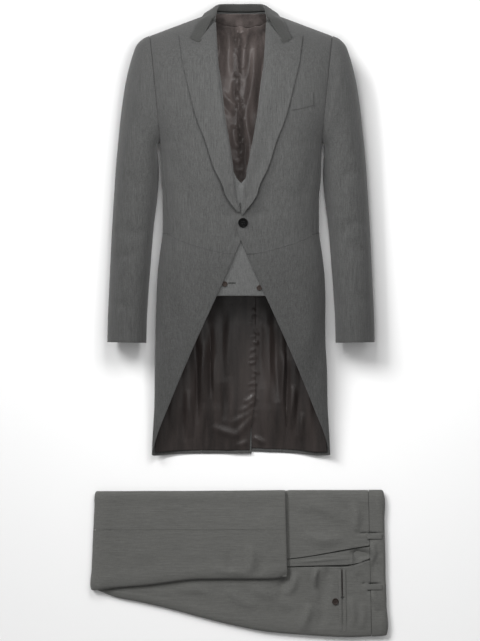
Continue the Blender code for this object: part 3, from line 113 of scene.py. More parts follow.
# Armholes
ARMPIT_Y = 706.0
ARMHOLE_TOP_Y = SHOULDER_Y
ARMHOLE_HALF_DEPTH = 60.0
ARMHOLE_GAP = 0.6
ARMHOLE_END = 0.01

# Seams of the coat body
WAIST_KNEE_Y = 560.0
SIDE_SEAM_ANGLE = 68.0
SIDE_SEAM_TOP_Y = 742.0
BACK_SEAM_TOP_Y = 770.0
PLEAT_X_WAIST = 58.0
PLEAT_X_HEM = 90.0
WAIST_SEAM = table(
    "x y",
    (0, 455), (27, 455), (63, 461), (103, 472.5), (135, 483), (175, 501), (210, 503),
)

# Front edge: roll line of the lapel, button stance, and cutaway
ROLL_LINE = table(
    "y roll_x",
    (540, 2), (560, 4), (600, 7.5), (648, 16), (684, 25), (756, 38), (823, 48), (886, 54),
    (952, 57), (985, 58),
)
BUTTON_Y = 525.0
UNDERLAP_X = 10.0
OVERLAP_X = -8.0
STANCE_TOP_Y = 548.0
STANCE_BLEND_LOW = 8.0
STANCE_BLEND_TOP = 12.0
CUTAWAY_Y = 484.0
CUTAWAY_SLOPE = 0.4275
CORNER_Y = 34.0
CORNER_RADIUS = 15.0
LAP_RISE = CLOTH + LAYER_GAP
LAP_FULL_X = 13.0
LAP_END_X = 48.0
LAP_FADE_LOW_Y = 590
LAP_FADE_TOP_Y = 640

# Tail hem and centre vent
HEM = table(
    "x y",
    (-205, 3), (-196, 0.5), (-130, 4.7), (0, 5), (24, 5), (56, 8), (126, 5.4), (175, 0.5),
    (205, 2.3),
)
HEM_MIDDLE_Y = 5
VENT_OVERLAP = 24.0
VENT_TOP_Y = 440.0
VENT_FADE_START_Y = 468.0
VENT_FADE = 45.0
VENT_RAMP = 45.0
VENT_RISE = CLOTH + SATIN + 2 * LAYER_GAP
LINING_HEM_Y = 13.0
LINING_TOP_Y = 452.0
LINING_FOLD_HEIGHT = 3.2
LINING_RAMP_START = 14.0
LINING_EASE = 3.5
LINING_EASE_X = (90, 180)

# Lapels: outer edge, peak and gorge
LAPEL_EDGE = table(
    "y edge_x",
    (541, 3), (547, 8), (590, 35), (605, 39), (650, 60), (709, 79), (760, 99), (835, 119),
    (887, 131), (926, 136), (944, 138),
)
PEAK_X = 138.0
PEAK_Y = 944.0
NOTCH_X = 93.5
NOTCH_Y = 930.0
GORGE_X = 60.0
GORGE_Y = 975.0
LAPEL_TUCK = 3.8
LAPEL_LIFT = table(
    "share lift",
    (0.0, 0.4), (0.05, 6.0), (0.14, 7.2), (0.4, 5.6), (0.75, 4.4), (1.0, 4.0),
)
LAPEL_START_L = 541.0
LAPEL_START_R = 549.0
LAPEL_CLEAR = 1.2
ROLL_OPEN = 5.0
LOW_ROLL_Y = (548, 575, 600, 720)
LAPEL_TUCK_Y = (600, 700)
LAPEL_SHARES = (0.0, 0.02, 0.05, 0.09, 0.14, 0.2, 0.27, 0.335)
NOTCH_SHARE = 0.4
LAPEL_OUTER_COLUMNS = 14
GORGE_POWER = 5
LAPEL_ROWS = 110
LAPEL_ROLL_OFF = 3.5
LAPEL_ROLL_OFF_SPAN = 170.0

# Collar: neck seam, fold and outer edge, from the centre back to the leaf
COLLAR = table(
    "seam_x seam_y fold_x fold_y fold_z edge_x edge_y",
    (0, 999.8, 0, 1016.0, 66.0, 0, 982.0), (27, 1000.2, 25, 1016.2, 68.0, 32, 982.0),
    (47, 1001.0, 43, 1015.5, 76.0, 60, 983.5), (60, 1001.0, 52, 1012.0, 96.0, 79, 998.0),
    (59, 996.0, 54, 1003.0, 118.0, 90, 980.0), (56.5, 986.0, 56.5, 990.0, 136.0, 99, 967.0),
)
COLLAR_FRONT_ROW = 3
LEAF_FOLD_X = 59.5
LEAF_FOLD_Y = 977.0
LEAF_NOTCH_X = 91.0
LEAF_NOTCH_Y = 927.5
LEAF_TIP_X = 114.0
LEAF_TIP_Y = 934.5
COLLAR_CLOTH = 2.2
COLLAR_FOLD_RADIUS = 3.4
COLLAR_FALL_LIFT = 4.0
COLLAR_BACK_LIFT = 5.6
COLLAR_SIDE_NORMAL = (0.3, 0.95, 0.0)
COLLAR_TURNS = (180, 135, 90, 45, 0)
FALL_SHARES = (0.33, 0.67, 1.0)
LEAF_FOLD_LIFT = 7.0
LEAF_SEAM_IN = 3.0
LEAF_SEAM_UP = 1.0
LEAF_SEAM_LIFT = 0.6

# Sleeves: a row for each section, from the head to the cuff
SLEEVE = table(
    "outer_x outer_y inner_x inner_y mid_height half_depth",
    (220.5, 938, 185.6, 702, 87, 62), (234, 925, 186.8, 698.5, 85, 63.5),
    (243, 903, 187.6, 695, 81, 64.5), (252, 872, 188.0, 691, 77, 65),
    (260, 836, 188.0, 686, 72, 64.5), (267, 790, 187.4, 678, 67, 64),
    (274, 729, 185.8, 662, 63, 63), (281, 655, 184.6, 633, 59.5, 60.5),
    (285.7, 585, 187.9, 585, 56.5, 57.5), (290, 513, 196.5, 513, 54, 55),
    (293.6, 441, 202.5, 441, 52, 53), (297, 369, 208, 369, 50, 51),
    (299.6, 311, 211.5, 311, 48.5, 49.5), (300.8, 256, 212.8, 254.5, 47.5, 48.5),
)
SLEEVE_SEGMENTS = 18
SLEEVE_POWER = 2.15
SLEEVE_SEAM_FRONT = 8
SLEEVE_SEAM_BACK = 16

# Chest welt, on the wearer's left
WELT_LEFT_X = 112.0
WELT_RIGHT_X = 162.0
WELT_LEFT_Y = 776.0
WELT_RISE_Y = 12.0
WELT_HEIGHT = 30.5
WELT_ROW_SHARES = (0.0, 0.5, 1.0)
WELT_COLUMNS = 6

# Waistcoat
VEST_HEM_Y = 359.0
VEST_V_Y = 612.0
VEST_NECK = table(
    "y edge_x",
    (612, 0), (620, 7.5), (640, 17.5), (660, 23.5), (700, 29), (760, 36), (830, 43.5), (900, 56),
    (955, 70),
)
VEST_OVERLAP_X = -62.0
VEST_OVERLAP_Y = 540.0
VEST_UNDERLAP_X = -48.0
VEST_SIDE_ANGLE = 93.0
VEST_BACK_ANGLE = 97.0
VEST_STRAP_SHARE = 0.72
VEST_ARMHOLE_Y = 640.0
VEST_ARMHOLE_TOP_Y = 790.0
VEST_NECK_X = 77.0
VEST_NECK_BACK_Y = 972.0
VEST_LEFT_DEPTH = CLOTH + 3 * LAYER_GAP + LAP_RISE
VEST_RIGHT_DEPTH = VEST_LEFT_DEPTH + CLOTH + 3 * LAYER_GAP
VEST_BACK_DEPTH = VENT_RISE + CLOTH + 2 * SATIN + 4 * LAYER_GAP


def hermite(t, step, low, high, low_slope, high_slope):
    """Value at the share t of a step from low to high, with the slope that each end has."""
    stay = (1 + 2 * t) * (1 - t) ** 2 * low + t * t * (3 - 2 * t) * high
    lean = t * (1 - t) ** 2 * low_slope - t * t * (1 - t) * high_slope
    return stay + lean * step


class Curve:
    """Smooth curve through the rows of a table, with no overshoot between them."""

    def __init__(self, rows, across, along="y"):
        pairs = sorted((getattr(row, along), getattr(row, across)) for row in rows)
        self.x = np.array([p[0] for p in pairs], dtype=float)
        self.v = np.array([p[1] for p in pairs], dtype=float)
        step = np.diff(self.x)
        rise = np.diff(self.v) / step
        slope = np.zeros(len(self.x))
        slope[0], slope[-1] = rise[0], rise[-1]
        for i in range(1, len(self.x) - 1):
            if rise[i - 1] * rise[i] > 0:
                slope[i] = 2 * rise[i - 1] * rise[i] / (rise[i - 1] + rise[i])
        self.slope = slope

    def __call__(self, at):
        at = min(max(at, self.x[0]), self.x[-1])
        i = min(int(np.searchsorted(self.x, at, side="right")) - 1, len(self.x) - 2)
        step = self.x[i + 1] - self.x[i]
        t = (at - self.x[i]) / step
        return float(hermite(t, step, self.v[i], self.v[i + 1], self.slope[i], self.slope[i + 1]))


half_width = Curve(BODY, "half_width")
mid_height = Curve(BODY, "mid_height")
front_rise = Curve(BODY, "front_rise")
waist_seam_y = Curve(WAIST_SEAM, "y", "x")
hem_y = Curve(HEM, "y", "x")
roll_line_x = Curve(ROLL_LINE, "roll_x")
lapel_edge_x = Curve(LAPEL_EDGE, "edge_x")
lapel_lift = Curve(LAPEL_LIFT, "lift", "share")
vest_neck_x = Curve(VEST_NECK, "edge_x")


def blend(low, high, share):
    """Value at a share of the way from low to high."""
    return low + (high - low) * share


def smoothstep(low, high, value):
    """0 up to low and 1 from high on, with a smooth rise between."""
    t = min(max((value - low) / (high - low), 0.0), 1.0)
    return t * t * (3 - 2 * t)


def band(edges, value):
    """1 between the middle two of four edges, and 0 outside of the outer two."""
    return smoothstep(edges[0], edges[1], value) * (1 - smoothstep(edges[2], edges[3], value))


def spread(low, high, count):
    """Numbers in equal steps from low to high, both included."""
    return [blend(low, high, i / (count - 1)) for i in range(count)]


def shoulder_y(x):
    """Height of the ridge where front and back meet, at x from the centre."""
    return SHOULDER_Y + SHOULDER_SLOPE * (SHOULDER_X - min(max(abs(x), RIDGE_END_X), SHOULDER_X))


def armhole_opening(y):
    """Half the armhole's depth at height y, 0 below the armpit."""
    middle = (ARMPIT_Y + ARMHOLE_TOP_Y) / 2
    reach = (ARMHOLE_TOP_Y - ARMPIT_Y) / 2
    share = (y - middle) / reach
    return ARMHOLE_HALF_DEPTH * math.sqrt(max(0.0, 1 - share * share))


def section_depth(share, rise, edge, power):
    """Depth of a rounded section at a share of its half width, where edge is left at the end."""
    cut = (1 - (edge / rise) ** power) ** (1 / power)
    return rise * max(0.0, 1 - (cut * share) ** power) ** (1 / power)


def sine(angle):
    """Sine of an angle in degrees."""
    return math.sin(math.radians(angle))


def row_at(level):
    """Share of the roll over the shoulder at a level, and y of its row in the table of the body."""
    turn = min(max((level - ROLL_START) / ROLL_SPAN, 0.0), 1.0)
    return turn, min(level, ROLL_START) + turn * (SHOULDER_Y - ROLL_START)


def body_skin(angle, level):
    """Point of the coat's outer skin.

    angle is 0 at the centre front, 90 at the wearer's left side and 180 at the centre back.
    level is y up to ROLL_START, and from there to RIDGE_LEVEL it runs over the shoulder.
    """
    turn, row_y = row_at(level)
    share = sine(angle)
    x = half_width(row_y) * share
    y = level if turn == 0 else ROLL_START + turn * (shoulder_y(x) - ROLL_START)
    front = math.cos(math.radians(angle)) >= 0
    roll_power = FRONT_ROLL_POWER if front else BACK_ROLL_POWER
    inside_turn = min(turn, TURN_LIMIT)
    roll = (1 - inside_turn ** roll_power) ** (1 / roll_power)
    open_y = row_y if turn == 0 else min(row_y, ARMHOLE_TOP_Y - ARMHOLE_END)
    edge = armhole_opening(open_y) / roll
    middle = mid_height(row_y)
    rise = front_rise(row_y) if front else middle * BACK_DROP
    depth = section_depth(abs(share), rise, min(edge, rise * EDGE_LIMIT),
                          FRONT_POWER if front else BACK_POWER)
    depth = depth * roll if turn < 1 else 0.0
    seam = SEAM_GAP / 2 if turn == 1 else 0.0
    z = middle + depth + seam if front else middle - depth - seam
    return np.array([x, y, max(z, 0.0)])


def body_normal(angle, level):
    """Outward direction of the coat's outer skin, from points on each side of the place."""
    low, high = angle - NORMAL_STEP, angle + NORMAL_STEP
    if level > ARMPIT_Y:
        if math.cos(math.radians(angle)) >= 0:
            high = min(high, 90 - NEARLY)
        else:
            low = max(low, 90 + NEARLY)
            high = min(high, 270 - NEARLY)
    across = body_skin(high, level) - body_skin(low, level)
    above = min(level + 1.0, RIDGE_LEVEL - RIDGE_CLEAR)
    along = body_skin(angle, above) - body_skin(angle, level - 1.0)
    normal = np.cross(across, along)
    if level >= RIDGE_LEVEL - NEARLY:
        normal = np.array([-across[1], across[0], 0.0]) * np.sign(across[0])
    normal = normal / np.linalg.norm(normal)
    away = body_skin(angle, level) - np.array([0.0, 0.0, mid_height(min(level, SHOULDER_Y))])
    away[1] = 0.0 if level < ROLL_START else ROLL_AWAY_Y
    return normal if float(np.dot(normal, away)) >= 0 else -normal


def body_point(angle, level, lift=0.0):
    """Point that lies lift above the coat's outer skin, or under it where lift is negative."""
    point = body_skin(angle, level)
    if lift:
        point = point + body_normal(angle, level) * lift
    return point


def angle_at(x, level, back=False):
    """Angle at which the section of that level reaches x."""
    row_y = row_at(level)[1]
    share = min(max(x / half_width(row_y), -1.0), 1.0)
    angle = math.degrees(math.asin(share))
    return 180.0 - angle if back else angle


def level_at(x, y):
    """Level on which the point (x, y) lies, seen from above."""
    if y <= ROLL_START:
        return y
    return ROLL_START + ROLL_SPAN * min((y - ROLL_START) / (shoulder_y(x) - ROLL_START), 1.0)


def front_point(x, y, lift=0.0):
    """Point over the coat's front, seen from above at (x, y)."""
    level = level_at(x, y)
    return body_point(angle_at(x, level), level, lift)


def back_point(x, y, lift=0.0):
    """Point under the coat's back, seen from above at (x, y)."""
    level = level_at(x, y)
    return body_point(angle_at(x, level, back=True), level, lift)


def pulled_in(grid, gap=SEAM_GAP / 2, ends=(True, True, True, True)):
    """The grid with its borders moved in by the gap: first row, last row, first and last column."""
    grid = grid.copy()
    rows, columns = grid.shape[:2]
    moves = [
        (ends[0], grid[0], grid[1]),
        (ends[1], grid[rows - 1], grid[rows - 2]),
        (ends[2], grid[:, 0], grid[:, 1]),
        (ends[3], grid[:, columns - 1], grid[:, columns - 2]),
    ]
    for wanted, border, inside in moves:
        if wanted:
            step = inside - border
            length = np.linalg.norm(step, axis=-1, keepdims=True)
            border += step / np.maximum(length, NO_LENGTH) * gap
    return grid


def mirrored(grid):
    """The grid for the wearer's right, from the one for the left."""
    flipped = grid.copy()
    flipped[..., 0] *= -1
    return flipped


def skin(places, lift):
    """Grid of points over the coat body; lift is a number or a function of x and y."""
    rows = []
    for row in places:
        points = []
        for angle, level in row:
            height = lift
            if callable(lift):
                bare = body_skin(angle, level)
                height = lift(bare[0], bare[1])
            points.append(body_point(angle, level, height))
        rows.append(points)
    return np.array(rows)


# Coat body panels

WAIST_NEAR_Y = 500.0
WAIST_FRONT_Y = waist_seam_y(half_width(WAIST_NEAR_Y) * sine(SIDE_SEAM_ANGLE))
WAIST_BACK_Y = 503.0
BACK_SEAM_ANGLE = angle_at(PLEAT_X_WAIST, WAIST_BACK_Y, back=True)
SIDE_ROWS = 8
FRONT_COLUMNS = 10
SIDE_COLUMNS = 9
SKIRT_ROWS = 11
SKIRT_BACK_COLUMNS = 9
ARMHOLE_STEPS = (0.3, 0.65, 1.0)
ROLL_STEPS = (0.3, 0.55, 0.75, 0.9, 1.0)
BACK_SHARES = (0.0, 0.1, 0.202, 0.32, 0.46, 0.6, 0.74, 0.88, 1.0)
BACK_NECK_Y = 998.0
STANCE_ROW_SHARE = 0.3
SKIRT_MIDDLE_SHARE = 0.35
SKIRT_EDGE_LIMIT = 0.994
WAIST_ROUNDS = 4


def side_seam_angle(y):
    """Angle of the seam between forepart and side body, which runs up into the armhole."""
    share = max(0.0, 1 - (y - WAIST_FRONT_Y) / (SIDE_SEAM_TOP_Y - WAIST_FRONT_Y))
    return min(90 - (90 - SIDE_SEAM_ANGLE) * min(share, 1.0) ** 0.5, 90 - NEARLY)


def back_seam_angle(y):
    """Angle of the back panel's outer edge above the waist."""
    share = max(0.0, 1 - (y - WAIST_BACK_Y) / (BACK_SEAM_TOP_Y - WAIST_BACK_Y))
    return max(90 + (BACK_SEAM_ANGLE - 90) * min(share, 1.0) ** 0.5, 90 + NEARLY)


def side_levels(low, high):
    """Heights of the side body's rows on a seam that runs from low to high."""
    return [low + (high - low) * (1 - (1 - s) ** 2) for s in spread(0, 1, SIDE_ROWS)]


def waist_level(angle):
    """Height of the waist seam where the section's angle crosses it."""
    if math.cos(math.radians(angle)) < 0:
        return WAIST_BACK_Y
    y = WAIST_FRONT_Y
    for _ in range(WAIST_ROUNDS):
        y = waist_seam_y(half_width(y) * sine(angle))
    return y


def front_edge_x(y, reach):
    """Front edge of the coat: roll line, button stance that reaches past the centre, cutaway."""
    stance = max(reach, CUTAWAY_SLOPE * (CUTAWAY_Y - y))
    above = smoothstep(STANCE_TOP_Y - STANCE_BLEND_LOW, STANCE_TOP_Y + STANCE_BLEND_TOP, y)
    return blend(stance, roll_line_x(y), above)


def forepart_places(reach):
    """Angles and levels over the forepart, row by row from the waist to the shoulder."""
    levels = side_levels(WAIST_FRONT_Y, SIDE_SEAM_TOP_Y)
    levels += [blend(SIDE_SEAM_TOP_Y, ROLL_START, s) for s in ARMHOLE_STEPS]
    levels += [ROLL_START + ROLL_SPAN * s for s in ROLL_STEPS]
    knee_rows = []
    if levels[3] > WAIST_KNEE_Y:
        knee_rows = [blend(WAIST_KNEE_Y, levels[3], STANCE_ROW_SHARE)]
    places = []
    for level in sorted(levels + knee_rows):
        turn = max(0.0, (level - ROLL_START) / ROLL_SPAN)
        rise = min(1.0, (level - WAIST_FRONT_Y) / (WAIST_KNEE_Y - WAIST_FRONT_Y))
        front_y = blend(WAIST_SEAM[0].y, WAIST_KNEE_Y, rise) if rise < 1 else level
        if turn > 0:
            front_y = ROLL_START + turn * (shoulder_y(NECK_X) - ROLL_START)
        left_x = NECK_X if turn >= 1 else front_edge_x(front_y, reach)
        left = angle_at(left_x, level)
        right = side_seam_angle(level) if level < SIDE_SEAM_TOP_Y else 90 - NEARLY
        row = []
        for share in spread(0, 1, FRONT_COLUMNS):
            angle = blend(left, right, share)
            low = rise < 1
            row.append((angle, blend(waist_level(angle), WAIST_KNEE_Y, rise) if low else level))
        places.append(row)
    return places


def side_body_places():
    """Angles and levels over the side body, from the waist into the armhole."""
    places = []
    for s in spread(0, 1, SIDE_ROWS):
        row = []
        for t in spread(0, 1, SIDE_COLUMNS):
            front = t < 0.5
            bottom_angle = blend(SIDE_SEAM_ANGLE, BACK_SEAM_ANGLE, t)
            away = abs(1 - 2 * t)
            seam_top = SIDE_SEAM_TOP_Y if front else BACK_SEAM_TOP_Y
            top = ARMPIT_Y + (seam_top - ARMPIT_Y) * away ** 2
            angle = 90 + (bottom_angle - 90) * (1 - s)
            if s == 1:
                angle = 90 - NEARLY if front else 90 + NEARLY
            bottom = waist_level(bottom_angle)
            row.append((angle, bottom + (top - bottom) * (1 - (1 - s) ** 2)))
        places.append(row)
    return places


def pleat_x(y):
    """Line on the back where skirt and back panel meet."""
    return blend(PLEAT_X_HEM, PLEAT_X_WAIST, smoothstep(0, WAIST_BACK_Y, y))


def skirt_shares():
    """Shares of the way from hem to waist, which skirt and back panel have in common."""
    return spread(0, 1, SKIRT_ROWS)


def skirt_places(side):
    """Skirt from the cutaway edge round the side to the pleat; side is 1 on the wearer's left."""
    places = []
    for s in skirt_shares():
        y_middle = blend(0, WAIST_SEAM[0].y, s)
        corner = max(0.0, (CORNER_Y - y_middle) / CORNER_Y)
        edge_x = CUTAWAY_SLOPE * (CUTAWAY_Y - y_middle) + CORNER_RADIUS * corner ** 2 / 3
        left = angle_at(min(edge_x, SKIRT_EDGE_LIMIT * half_width(y_middle)), y_middle)
        y_pleat = blend(hem_y(side * PLEAT_X_HEM), WAIST_BACK_Y, s)
        right = angle_at(pleat_x(y_pleat), y_pleat, back=True)
        middle = max(blend(blend(left, right, SKIRT_MIDDLE_SHARE), SIDE_SEAM_ANGLE, s), left)
        angles = [blend(left, middle, t) for t in spread(0, 1, FRONT_COLUMNS)]
        angles += [blend(middle, right, t) for t in spread(0, 1, SKIRT_BACK_COLUMNS)[1:]]
        row = []
        for angle in angles:
            x = half_width(y_middle) * sine(angle)
            row.append((angle, blend(hem_y(side * x), waist_level(angle) - SEAM_GAP, s)))
        places.append(row)
    return places


def vent_left_x(y, reach):
    """Inner edge of the back: the centre seam, and the vent's extension below its top."""
    return -reach if y < VENT_TOP_Y else 0.0


def back_places(side, reach):
    """Back panel from hem to shoulder and neck; reach is the width of the vent's extension."""
    tails = [blend(hem_y(side * PLEAT_X_HEM), WAIST_BACK_Y, s) for s in skirt_shares()]
    levels = tails + side_levels(WAIST_BACK_Y, BACK_SEAM_TOP_Y)[1:]
    levels += [blend(BACK_SEAM_TOP_Y, ROLL_START, s) for s in ARMHOLE_STEPS]
    levels += [ROLL_START + ROLL_SPAN * s for s in ROLL_STEPS]
    places = []
    for level in levels:
        if level <= WAIST_BACK_Y:
            outer = angle_at(pleat_x(level), level, back=True)
        else:
            outer = back_seam_angle(level) if level < BACK_SEAM_TOP_Y else 90 + NEARLY
        inner = angle_at(vent_left_x(level, reach), level, back=True)
        row = []
        for share in BACK_SHARES:
            angle = blend(inner, outer, share)
            x = half_width(level) * sine(angle)
            height = level
            if level < WAIST_BACK_Y / 2:
                drop = hem_y(side * x) - hem_y(side * PLEAT_X_HEM)
                height += drop * (1 - smoothstep(0, WAIST_BACK_Y / 2, level))
            if level > ROLL_START and x < NECK_X - 1:
                neck = level_at(x, BACK_NECK_Y)
                height = blend(ROLL_START, neck, (level - ROLL_START) / ROLL_SPAN)
            row.append((angle, height))
        places.append(row)
    return places


def lap(x, y):
    """Rise of the wearer's left front where it lies over the right."""
    across = 1 - smoothstep(LAP_FULL_X, LAP_END_X, x)
    return LAP_RISE * across * (1 - smoothstep(LAP_FADE_LOW_Y, LAP_FADE_TOP_Y, y))


def vent_rise(x, y, start=2.0):
    """Rise of the wearer's right tail, inward, where it lies over the left at the vent."""
    near = 1 - smoothstep(start, start + VENT_RAMP, x)
    low = 1 - smoothstep(VENT_FADE_START_Y, VENT_FADE_START_Y + VENT_FADE, y)
    return -VENT_RISE * near * low


# Linings, lapels, collar and welt

LINING_ROWS = 12
LINING_COLUMNS = 14
LINING_SIDE_ANGLE = 99.0
LINING_FOLD_Y = (20, 90, 270, 345)
LINING_FOLD_X = (34, 62, 150, 185)
LINING_FOLD_SWAY = 0.9
LINING_FOLD_SWAY_Y = 95.0
LINING_FOLD_STEP = 37.0


def lining_folds(x, y):
    """Long folds that hang down the lining, flat near its borders and the vent."""
    wander = LINING_FOLD_SWAY * math.sin(y / LINING_FOLD_SWAY_Y)
    wander = wander + x / LINING_FOLD_STEP * math.pi
    return (LINING_FOLD_HEIGHT * band(LINING_FOLD_Y, y) * band(LINING_FOLD_X, x)
            * (0.5 - 0.5 * math.cos(wander * 2)))


def lining_places(side, reach):
    """Angles and levels over the lining of one tail."""
    places = []
    for s in spread(0, 1, LINING_ROWS):
        level = blend(LINING_HEM_Y, LINING_TOP_Y, s)
        inner = angle_at(vent_left_x(level, reach), level, back=True)
        row = []
        for t in spread(0, 1, LINING_COLUMNS):
            angle = blend(inner, LINING_SIDE_ANGLE, t)
            x = half_width(level) * sine(angle)
            row.append((angle, level + (hem_y(side * x) - HEM_MIDDLE_Y) * (1 - s)))
        places.append(row)
    return places


def low_roll(y):
    """How much of the roll line's opening there is at y, on the wearer's right."""
    return band(LOW_ROLL_Y, y)


def lapel_grids(start_y, side):
    """Outer and under skin of a lapel, which lies on the forepart and rolls off it low down."""
    gorge = np.array([GORGE_X - LAPEL_TUCK, GORGE_Y])
    notch, peak = np.array([NOTCH_X, NOTCH_Y]), np.array([PEAK_X, PEAK_Y])
    roll_end = np.array([roll_line_x(GORGE_Y) - LAPEL_TUCK, GORGE_Y])
    edge_end = np.array([lapel_edge_x(PEAK_Y), PEAK_Y])
    outer, under = [], []
    for s in spread(0, 1, LAPEL_ROWS):
        roll_y = blend(start_y, GORGE_Y, s)
        edge_y = blend(start_y + 2, PEAK_Y, s)
        roll_x = roll_line_x(roll_y) - LAPEL_TUCK * smoothstep(*LAPEL_TUCK_Y, roll_y)
        if side < 0:
            roll_x += ROLL_OPEN * low_roll(roll_y)
            roll_x = max(roll_x, LAPEL_CLEAR - front_edge_x(roll_y, OVERLAP_X))
        roll = np.array([roll_x, roll_y])
        edge = np.array([lapel_edge_x(edge_y), edge_y])
        outer_row, under_row = [], []
        for t in [*LAPEL_SHARES, *spread(NOTCH_SHARE, 1.0, LAPEL_OUTER_COLUMNS)]:
            if t < NOTCH_SHARE:
                top = blend(gorge, notch, t / NOTCH_SHARE)
            else:
                top = blend(notch, peak, (t - NOTCH_SHARE) / (1 - NOTCH_SHARE))
            last = blend(roll_end, edge_end, t)
            x, y = blend(roll, edge, t) + s ** GORGE_POWER * (top - last)
            off = LAPEL_ROLL_OFF * t * (1 - smoothstep(0, LAPEL_ROLL_OFF_SPAN, y - start_y))
            lift = lapel_lift(t) + off
            if side > 0:
                lift += lap(x, y)
            outer_row.append(front_point(x, y, lift))
            under_row.append(front_point(x, y, lift - DOUBLED_CLOTH))
        outer.append(outer_row)
        under.append(under_row)
    return np.array(outer), np.array(under)


def unit(vector):
    """The vector at length 1."""
    return vector / max(np.linalg.norm(vector), NO_LENGTH)


def collar_section(seam, fold, edge, middle, edge_normal, over):
    """Outer and under points of the collar across one row: stand, fold and fall.

    The fall runs to its edge straight, or by way of middle, and over keeps it off the cloth below.
    """
    up = unit(fold - (seam + edge) / 2)
    side = edge - seam
    side = unit(side - up * np.dot(side, up))
    centre = fold - up * COLLAR_FOLD_RADIUS
    small = COLLAR_FOLD_RADIUS - COLLAR_CLOTH
    outer = [seam, blend(seam, centre - side * COLLAR_FOLD_RADIUS, 0.5)]
    under = [point + side * COLLAR_CLOTH for point in outer]
    for degrees in COLLAR_TURNS:
        turn = math.radians(degrees)
        direction = side * math.cos(turn) + up * math.sin(turn)
        outer.append(centre + direction * COLLAR_FOLD_RADIUS)
        under.append(centre + direction * small)
    start = outer[-1]
    for share in FALL_SHARES:
        if middle is None:
            point = blend(start, edge, share)
        else:
            point = edge if share == 1.0 else blend(start, middle, share / FALL_SHARES[1])
        if share < 1.0:
            point = over(point)
        outer.append(point)
        under.append(point - edge_normal * COLLAR_CLOTH)
    return outer, under


def collar_grids():
    """Collar round the neck, built for the wearer's left and mirrored on to the right."""
    def over_front(point):
        floor = front_point(point[0], min(point[1], shoulder_y(point[0])))[2] + COLLAR_FALL_LIFT
        return np.array([point[0], point[1], max(point[2], floor)])

    def over_back(point):
        ceiling = back_point(point[0], min(point[1], BACK_NECK_Y - 2))[2] - COLLAR_BACK_LIFT
        return np.array([point[0], point[1], max(min(point[2], ceiling), 0.5)])

    half_outer, half_under = [], []
    for number, row in enumerate(COLLAR):
        front = number > COLLAR_FRONT_ROW
        place = front_point if front else back_point
        seam = place(row.seam_x, min(row.seam_y, shoulder_y(row.seam_x)))
        seam[1] = row.seam_y
        if number == COLLAR_FRONT_ROW:
            seam[2] = mid_height(SHOULDER_Y)
            normal = np.array(COLLAR_SIDE_NORMAL)
            edge = np.array([row.edge_x, row.edge_y, seam[2]])
            over = np.array
        else:
            lift = COLLAR_FALL_LIFT if front else COLLAR_BACK_LIFT
            edge = place(row.edge_x, row.edge_y, lift)
            normal = unit(edge - place(row.edge_x, row.edge_y))
            over = over_front if front else over_back
        fold = np.array([row.fold_x, row.fold_y, row.fold_z])
        outer, under = collar_section(seam, fold, edge, None, normal, over)
        half_outer.append(outer)
        half_under.append(under)
    fold = front_point(LEAF_FOLD_X, LEAF_FOLD_Y, LEAF_FOLD_LIFT)
    seam = front_point(LEAF_FOLD_X - LEAF_SEAM_IN, LEAF_FOLD_Y + LEAF_SEAM_UP, LEAF_SEAM_LIFT)
    notch = front_point(LEAF_NOTCH_X, LEAF_NOTCH_Y, COLLAR_FALL_LIFT)
    tip = front_point(LEAF_TIP_X, LEAF_TIP_Y, COLLAR_FALL_LIFT)
    normal = unit(tip - front_point(LEAF_TIP_X, LEAF_TIP_Y))
    outer, under = collar_section(seam, fold, tip, notch, normal, over_front)
    half_outer.append(outer)
    half_under.append(under)
    grids = []
    for half in (np.array(half_outer), np.array(half_under)):
        grids.append(np.concatenate([mirrored(half[:0:-1]), half]))
    return grids


def welt_places():
    """Angles and levels over the chest welt."""
    places = []
    for s in WELT_ROW_SHARES:
        row = []
        for x in spread(WELT_LEFT_X, WELT_RIGHT_X, WELT_COLUMNS):
            along = (x - WELT_LEFT_X) / (WELT_RIGHT_X - WELT_LEFT_X)
            y = WELT_LEFT_Y + WELT_RISE_Y * along + WELT_HEIGHT * s
            row.append((angle_at(x, y), y))
        places.append(row)
    return places


# Sleeves


def power_wave(wave, power):
    """Sine or cosine of a rounded section; the higher its power, the squarer the section."""
    return math.copysign(abs(wave) ** (2 / power), wave)


def sleeve_ring(row, number, shrink):
    """One section of the sleeve, made smaller by shrink for the inside of the cloth."""
    ring = []
    for k in range(SLEEVE_SEGMENTS):
        turn = 2 * math.pi * k / SLEEVE_SEGMENTS
        if number == 0:
            middle = (ARMPIT_Y + ARMHOLE_TOP_Y) / 2
            reach = (ARMHOLE_TOP_Y - ARMPIT_Y) / 2
            y = middle + (reach - shrink) * math.cos(turn)
            x = half_width(middle + reach * math.cos(turn)) + ARMHOLE_GAP
            z = mid_height(y) + (ARMHOLE_HALF_DEPTH - shrink) * math.sin(turn)
        else:
            outer = np.array([row.outer_x, row.outer_y])
            inner = np.array([row.inner_x, row.inner_y])
            half = np.linalg.norm(outer - inner) / 2
            reach = (outer - inner) / 2 * (half - shrink) / half
            x, y = (outer + inner) / 2 + reach * power_wave(math.cos(turn), SLEEVE_POWER)
            depth = (row.half_depth - shrink) * power_wave(math.sin(turn), SLEEVE_POWER)
            z = max(row.mid_height + depth, shrink)
        ring.append((x, y, z))
    return ring


def sleeve_grids(first, last):
    """Outer and inner grid of the part of the sleeve between two of its lengthwise lines."""
    columns = [k % SLEEVE_SEGMENTS for k in range(first, last + 1)]
    grids = []
    for shrink in (0.0, CLOTH):
        rings = np.array([sleeve_ring(row, i, shrink) for i, row in enumerate([None] + SLEEVE)])
        grids.append(pulled_in(rings[:, columns], ends=(False, False, True, True)))
    return grids


# Waistcoat

